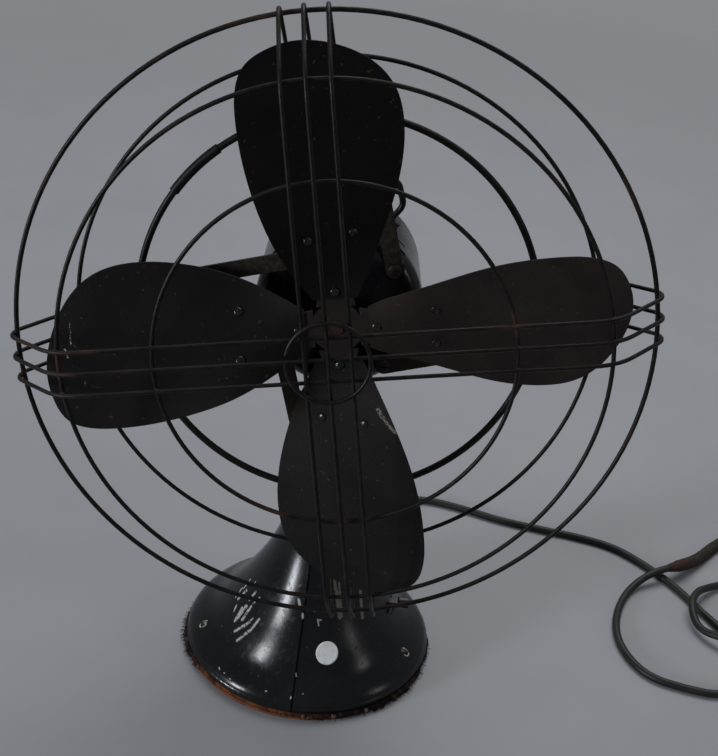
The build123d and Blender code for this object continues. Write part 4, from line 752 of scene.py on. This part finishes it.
# ---- Blades and spider. Stamped steel in thin black paint, dry and finely pitted, riveted to a pressed
# spider of four arms.
BLADES = {  # dust from 0 to 1 and tone of each blade's paint; both also hold painted light, lighter as a blade faces the light, most on the fourth
    1: (0.10, (0.0030, 0.0025, 0.0023)),
    2: (0.12, (0.0034, 0.0028, 0.0026)),
    3: (0.14, (0.0034, 0.0031, 0.0030)),
    4: (0.60, (0.0095, 0.0080, 0.0072)),
}
BLADE_CHIPS = {  # strokes as on the pedestal, in millimetres, and their colour
    2: ([((-173, -125, 327), (-170.5, -127, 322.5), 0.5), ((-172, -116.5, 344), (-169.5, -123, 330), 0.3),
         ((-157, -132, 308), (-157, -133, 303), 0.4)], (0.45, 0.44, 0.42)),
    3: ([((43.5, -109.5, 302.5), (47, -111.5, 298.5), 1.6), ((47, -111.5, 298.5), (57, -117.5, 291), 1.3)],
        (0.17, 0.155, 0.13)),
}
BLADE_DUST_AND_LIGHT = (0.040, 0.029, 0.024)
BLADE_RUST = (0.060, 0.032, 0.022)
RIVET_BLACK = (0.003, 0.0026, 0.0026)
RIVET_BROWN = (0.012, 0.009, 0.008)


def blade_paint(name, dust_and_light, tone):
    """Thin dry paint: fine grain, brown dust in soft patches that on the blades also stands in for painted
    light, and small rust specks.
    """
    material, tree, surface = new_finish(name, 0.62)
    surface.inputs["Specular IOR Level"].default_value = 0.13
    grain = clouds(tree, 0.0012, 0.35, 0.65, detail=6)
    paint = blended(tree, grain, tone, tuple(1.7 * part for part in tone))
    dusty = combined(tree, "MULTIPLY", clouds(tree, 0.06, 0.30, 0.72), dust_and_light)
    paint = blended(tree, dusty, paint, BLADE_DUST_AND_LIGHT)
    paint = blended(tree, clouds(tree, 0.0035, 0.69, 0.73, detail=2, shift=2.0), paint, BLADE_RUST)
    bumped(tree, surface, grain, 0.00010)
    return material, tree, surface, paint


# Painted light: each blade gets its own tone and share of the dust colour, lighter or darker by how it faces
# the lamps, on top of real dust.
for number, (dust_and_light, tone) in BLADES.items():
    painted, tree, surface, paint = blade_paint(f"blade_paint_{number}", dust_and_light, tone)
    if number in BLADE_CHIPS:
        strokes, tint = BLADE_CHIPS[number]
        worn = combined(tree, "MULTIPLY", marked(tree, strokes, 0.0012), clouds(tree, 0.0014, 0.40, 0.58))
        paint = blended(tree, worn, paint, tint)
    colour(tree, surface, paint)
    wear(f"fan_blade_{number}", painted)

spider_paint, tree, surface, paint = blade_paint("spider_paint", 0.5, (0.008, 0.0065, 0.006))
colour(tree, surface, paint)
wear("fan_spider", spider_paint)

rivet_paint, tree, surface = new_finish("rivet_paint", 0.20)
surface.inputs["Specular IOR Level"].default_value = 0.4
colour(tree, surface, blended(tree, clouds(tree, 0.002), RIVET_BLACK, RIVET_BROWN))
bumped(tree, surface, clouds(tree, 0.0012), 0.00004)
wear("blade_rivets", rivet_paint)

# ---- Mains cord. Two rubber covered cores in a tight rubber sheath, about 7 mm thick. It leaves the back of
# the rim, lies in loose loops at the right and ends in a put-away coil.
CORD_BLACK = (0.0075, 0.0078, 0.0066)
CORD_WORN = (0.018, 0.017, 0.013)
ROUTE = [  # the route of the part's own cord, in millimetres
    (0, 129, 13), (0, 149, 13), (8, 174, 8), (27, 200, 3.5), (57, 221, 3.5), (91, 230, 3.5),
    (128, 223, 3.5), (168, 210, 3.5), (208, 204, 3.5), (248, 199, 3.5), (283, 190, 3.5),
    (312, 167, 3.5), (340, 137, 3.5), (358, 107, 3.5), (378, 79, 3.5), (391, 46, 3.5), (387, 12, 3.5),
    (364, -9, 3.5), (333, -6, 3.5), (302, 2, 3.5), (283, 26, 3.5), (275, 59, 3.5), (281, 97, 3.5),
    (296, 129, 4), (318, 146, 13), (345, 160, 13.5), (367, 187, 4), (390, 219, 3.5), (416, 240, 3.5),
    (449, 236, 3.5), (462, 206, 3.5), (444, 178, 3.5), (410, 166, 3.5), (377, 146, 4.5), (356, 124, 13),
    (347, 101, 13), (352, 75, 6), (371, 59, 12.5), (398, 49, 13), (420, 45, 6), (440, 43, 3.5),
]
CORD_RADIUS = 0.0035
COIL_RADIUS = 0.042
COIL_STEP = 0.0041
COIL_LIFT = 0.0079
COIL_LEAD = 0.016
COIL_HALF_TURNS = 3
COIL_TAIL = 0.028
POINTS_A_HALF_TURN = 8


def coil_points():
    """Half turns that spiral in on the table and out again one layer up, then run straight to the plug."""
    x, y, z = (value / 1000 for value in ROUTE[-1])
    start = Vector((x + COIL_LEAD, y, z))
    points = [start.copy()]
    start.x += 2 * CORD_RADIUS
    heading, radius = 1, COIL_RADIUS
    for k in range(2 * COIL_HALF_TURNS + 1):
        step = -COIL_STEP if k < COIL_HALF_TURNS else (0 if k == COIL_HALF_TURNS else COIL_STEP)
        lift = COIL_LIFT if k == COIL_HALF_TURNS else 0
        half = radius + step / 2
        for n in range(1, POINTS_A_HALF_TURN):
            turn = pi * n / POINTS_A_HALF_TURN
            points.append(start + Vector((heading * half * sin(turn), -heading * half * (1 - cos(turn)),
                                          lift * n / POINTS_A_HALF_TURN)))
        start = start + Vector((0, -heading * 2 * half, lift))
        points.append(start.copy())
        heading, radius = -heading, radius + step
    points.append(start + Vector((heading * 0.4 * COIL_TAIL, 0, 0)))
    points.append(start + Vector((heading * COIL_TAIL, 0, 0)))
    return points


def route_curve(name, points):
    """A smooth open curve with these control points."""
    curve = bpy.data.curves.new(name, "CURVE")
    curve.dimensions = "3D"
    spline = curve.splines.new("NURBS")
    spline.points.add(len(points) - 1)
    for control, point in zip(spline.points, points):
        control.co = (*point, 1.0)
    spline.order_u = 3
    spline.use_endpoint_u = True
    spline.resolution_u = 8
    made = bpy.data.objects.new(name, curve)
    scene.collection.objects.link(made)
    return made


cord_finish, tree, surface = new_finish("cord_rubber", 0.48)
surface.inputs["Specular IOR Level"].default_value = 0.3
colour(tree, surface, blended(tree, clouds(tree, 0.03, 0.4, 0.65), CORD_BLACK, CORD_WORN))
bumped(tree, surface, clouds(tree, 0.002, 0.3, 0.7), 0.00008)

route = [Vector(point) / 1000 for point in ROUTE] + coil_points()
power_cord = route_curve("mains_cord", route)
cord_line = [vertex.co.copy() for vertex in bpy.data.meshes.new_from_object(power_cord).vertices]
power_cord.data.bevel_depth = CORD_RADIUS
power_cord.data.bevel_resolution = 4
power_cord.data.materials.append(cord_finish)
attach(power_cord, "base")
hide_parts("power_cord", "cord_coil")

# ---- Plug and cord relief. Both are moulded in black rubber round the cord, harder and a little shinier than
# its sheath.
PLUG_BLACK = (0.007, 0.007, 0.007)
PLUG_WORN = (0.020, 0.019, 0.018)

plug_finish, tree, surface = new_finish("plug_rubber", 0.38)
colour(tree, surface, blended(tree, clouds(tree, 0.006, 0.4, 0.7), PLUG_BLACK, PLUG_WORN))
bumped(tree, surface, clouds(tree, 0.0012, 0.3, 0.7), 0.00005)
for node in ("plug_body", "cord_relief"):
    wear(node, plug_finish)

# ---- Friction tape. Old cotton tape soaked in pitch, wound in overlapping turns round a repaired stretch of
# the cord. It is redder where it starts.
TAPE_BROWN = (0.014, 0.012, 0.007)
TAPE_WORN = (0.034, 0.028, 0.016)
TAPE_RED = (0.045, 0.015, 0.011)
RED_NEAR, RED_FAR = 0.015, 0.045
TAPE_START = (Vector(ROUTE[24]) + Vector(ROUTE[25])) / 2000
TAPE_END = Vector(ROUTE[28]) / 1000
TAPE_THICKNESS = 0.0003
TAPE_CREASE = 0.0003
TAPE_BULK = 0.0018
TAPE_TAPER = 0.012
TAPE_LAP = 0.009
TAPE_RIDGE = 0.0004
TAPE_STEP = 0.0008
TAPE_SIDES = 28
FLOOR_GAP = 0.0003


def between(line, start, end, step):
    """Evenly spaced points along the part of a line that runs from near the start to near the end."""
    first = min(range(len(line)), key=lambda k: (line[k] - start).length)
    last = min(range(len(line)), key=lambda k: (line[k] - end).length)
    points, ahead = [line[first].copy()], 0.0
    for point, after in zip(line[first:last], line[first + 1:last + 1]):
        span = (after - point).length
        while ahead + step <= span:
            ahead += step
            points.append(point.lerp(after, ahead / span))
        ahead -= span
    return points


def tape_mesh(points):
    """A wound sleeve along the points, thin at both ends, resting on the table where it is low."""
    tape = bmesh.new()
    rings = []
    whole = TAPE_STEP * (len(points) - 1)
    for k, point in enumerate(points):
        ahead = points[min(k + 3, len(points) - 1)] - points[max(k - 3, 0)]
        side = ahead.cross(Vector((0, 0, 1))).normalized()
        rise = side.cross(ahead).normalized()
        along = TAPE_STEP * k
        share = min(1.0, along / TAPE_TAPER, (whole - along) / TAPE_TAPER)
        ring = []
        for n in range(TAPE_SIDES):
            turn = tau * n / TAPE_SIDES
            lap = (along / TAPE_LAP - n / TAPE_SIDES) % 1.0
            crease = TAPE_CREASE * noise.noise(Vector((cos(turn), sin(turn), along * 220)))
            radius = CORD_RADIUS + TAPE_THICKNESS + share * (TAPE_BULK + TAPE_RIDGE * lap + crease)
            spot = point + radius * (cos(turn) * side + sin(turn) * rise)
            spot.z = max(spot.z, FLOOR_GAP)
            ring.append(tape.verts.new(spot))
        rings.append(ring)
    for ring, after in zip(rings, rings[1:]):
        for n in range(TAPE_SIDES):
            m = (n + 1) % TAPE_SIDES
            tape.faces.new((ring[n], ring[m], after[m], after[n]))
    for ring in (rings[0], rings[-1]):
        tape.faces.new(ring)
    bmesh.ops.recalc_face_normals(tape, faces=tape.faces)
    return tape


tape_finish, tree, surface = new_finish("friction_tape", 0.75)
surface.inputs["Specular IOR Level"].default_value = 0.25
place = shader(tree, "TexCoord").outputs["Object"]
away = shader(tree, "VectorMath", {0: place, 1: tuple(TAPE_START)}, operation="DISTANCE").outputs["Value"]
red = shader(tree, "MapRange", {"Value": away, "From Min": RED_FAR, "From Max": RED_NEAR}).outputs["Result"]
red = combined(tree, "MULTIPLY", red, clouds(tree, 0.006, 0.35, 0.6))
tape_tone = blended(tree, clouds(tree, 0.005, 0.4, 0.65), TAPE_BROWN, TAPE_WORN)
colour(tree, surface, blended(tree, red, tape_tone, TAPE_RED))
bumped(tree, surface, clouds(tree, 0.0008, 0.3, 0.7), 0.00012)
taped = between(cord_line, TAPE_START, TAPE_END, TAPE_STEP)
tape = solid_piece("friction_tape", tape_mesh(taped), tape_finish, "base")

# ---- Coil strap. A flat rubber loop, cut from sheet and stretched round the turns of the put-away coil, on
# the side away from the fan.
STRAP_BLACK = (0.010, 0.010, 0.011)
STRAP_WORN = (0.024, 0.024, 0.025)
STRAP_WIDTH = 0.006
STRAP_THICKNESS = 0.0009
STRAP_POINTS = 48
COIL_BEGINS = ROUTE[-1][0] / 1000 + 0.02
STRAP_SIDES = ((0, -1), (0, 1), (STRAP_THICKNESS, 1), (STRAP_THICKNESS, -1))


def coil_strap_mesh():
    """A flat loop round the bundle of turns, on the coil's far side."""
    coil = [point for point in cord_line if point.x > COIL_BEGINS]
    middle = sum(coil, Vector()) / len(coil)
    here = [point for point in coil if abs(point.y - middle.y) < STRAP_WIDTH and point.x > middle.x]
    inside = min(point.x for point in here) - CORD_RADIUS
    outside = max(point.x for point in here) + CORD_RADIUS
    top = max(point.z for point in here) + CORD_RADIUS
    strap = bmesh.new()
    rings = []
    for k in range(STRAP_POINTS):
        turn = tau * k / STRAP_POINTS
        reach = (abs(cos(turn)) ** 4 + abs(sin(turn)) ** 4) ** -0.25
        ring = []
        for thick, edge in STRAP_SIDES:
            x = (inside + outside) / 2 + ((outside - inside) / 2 + thick) * reach * cos(turn)
            z = top / 2 + (top / 2 + thick) * reach * sin(turn)
            y = middle.y + edge * STRAP_WIDTH / 2
            ring.append(strap.verts.new((x, y, max(z, FLOOR_GAP + 0.0004 * (thick == 0)))))
        rings.append(ring)
    for ring, after in zip(rings, rings[1:] + rings[:1]):
        for n in range(4):
            m = (n + 1) % 4
            strap.faces.new((ring[n], ring[m], after[m], after[n]))
    bmesh.ops.recalc_face_normals(strap, faces=strap.faces)
    return strap


strap_finish, tree, surface = new_finish("coil_strap", 0.7)
colour(tree, surface, blended(tree, clouds(tree, 0.0015, 0.4, 0.6), STRAP_BLACK, STRAP_WORN))
bumped(tree, surface, clouds(tree, 0.0006), 0.00008)
coil_strap = solid_piece("coil_strap", coil_strap_mesh(), strap_finish, "base")
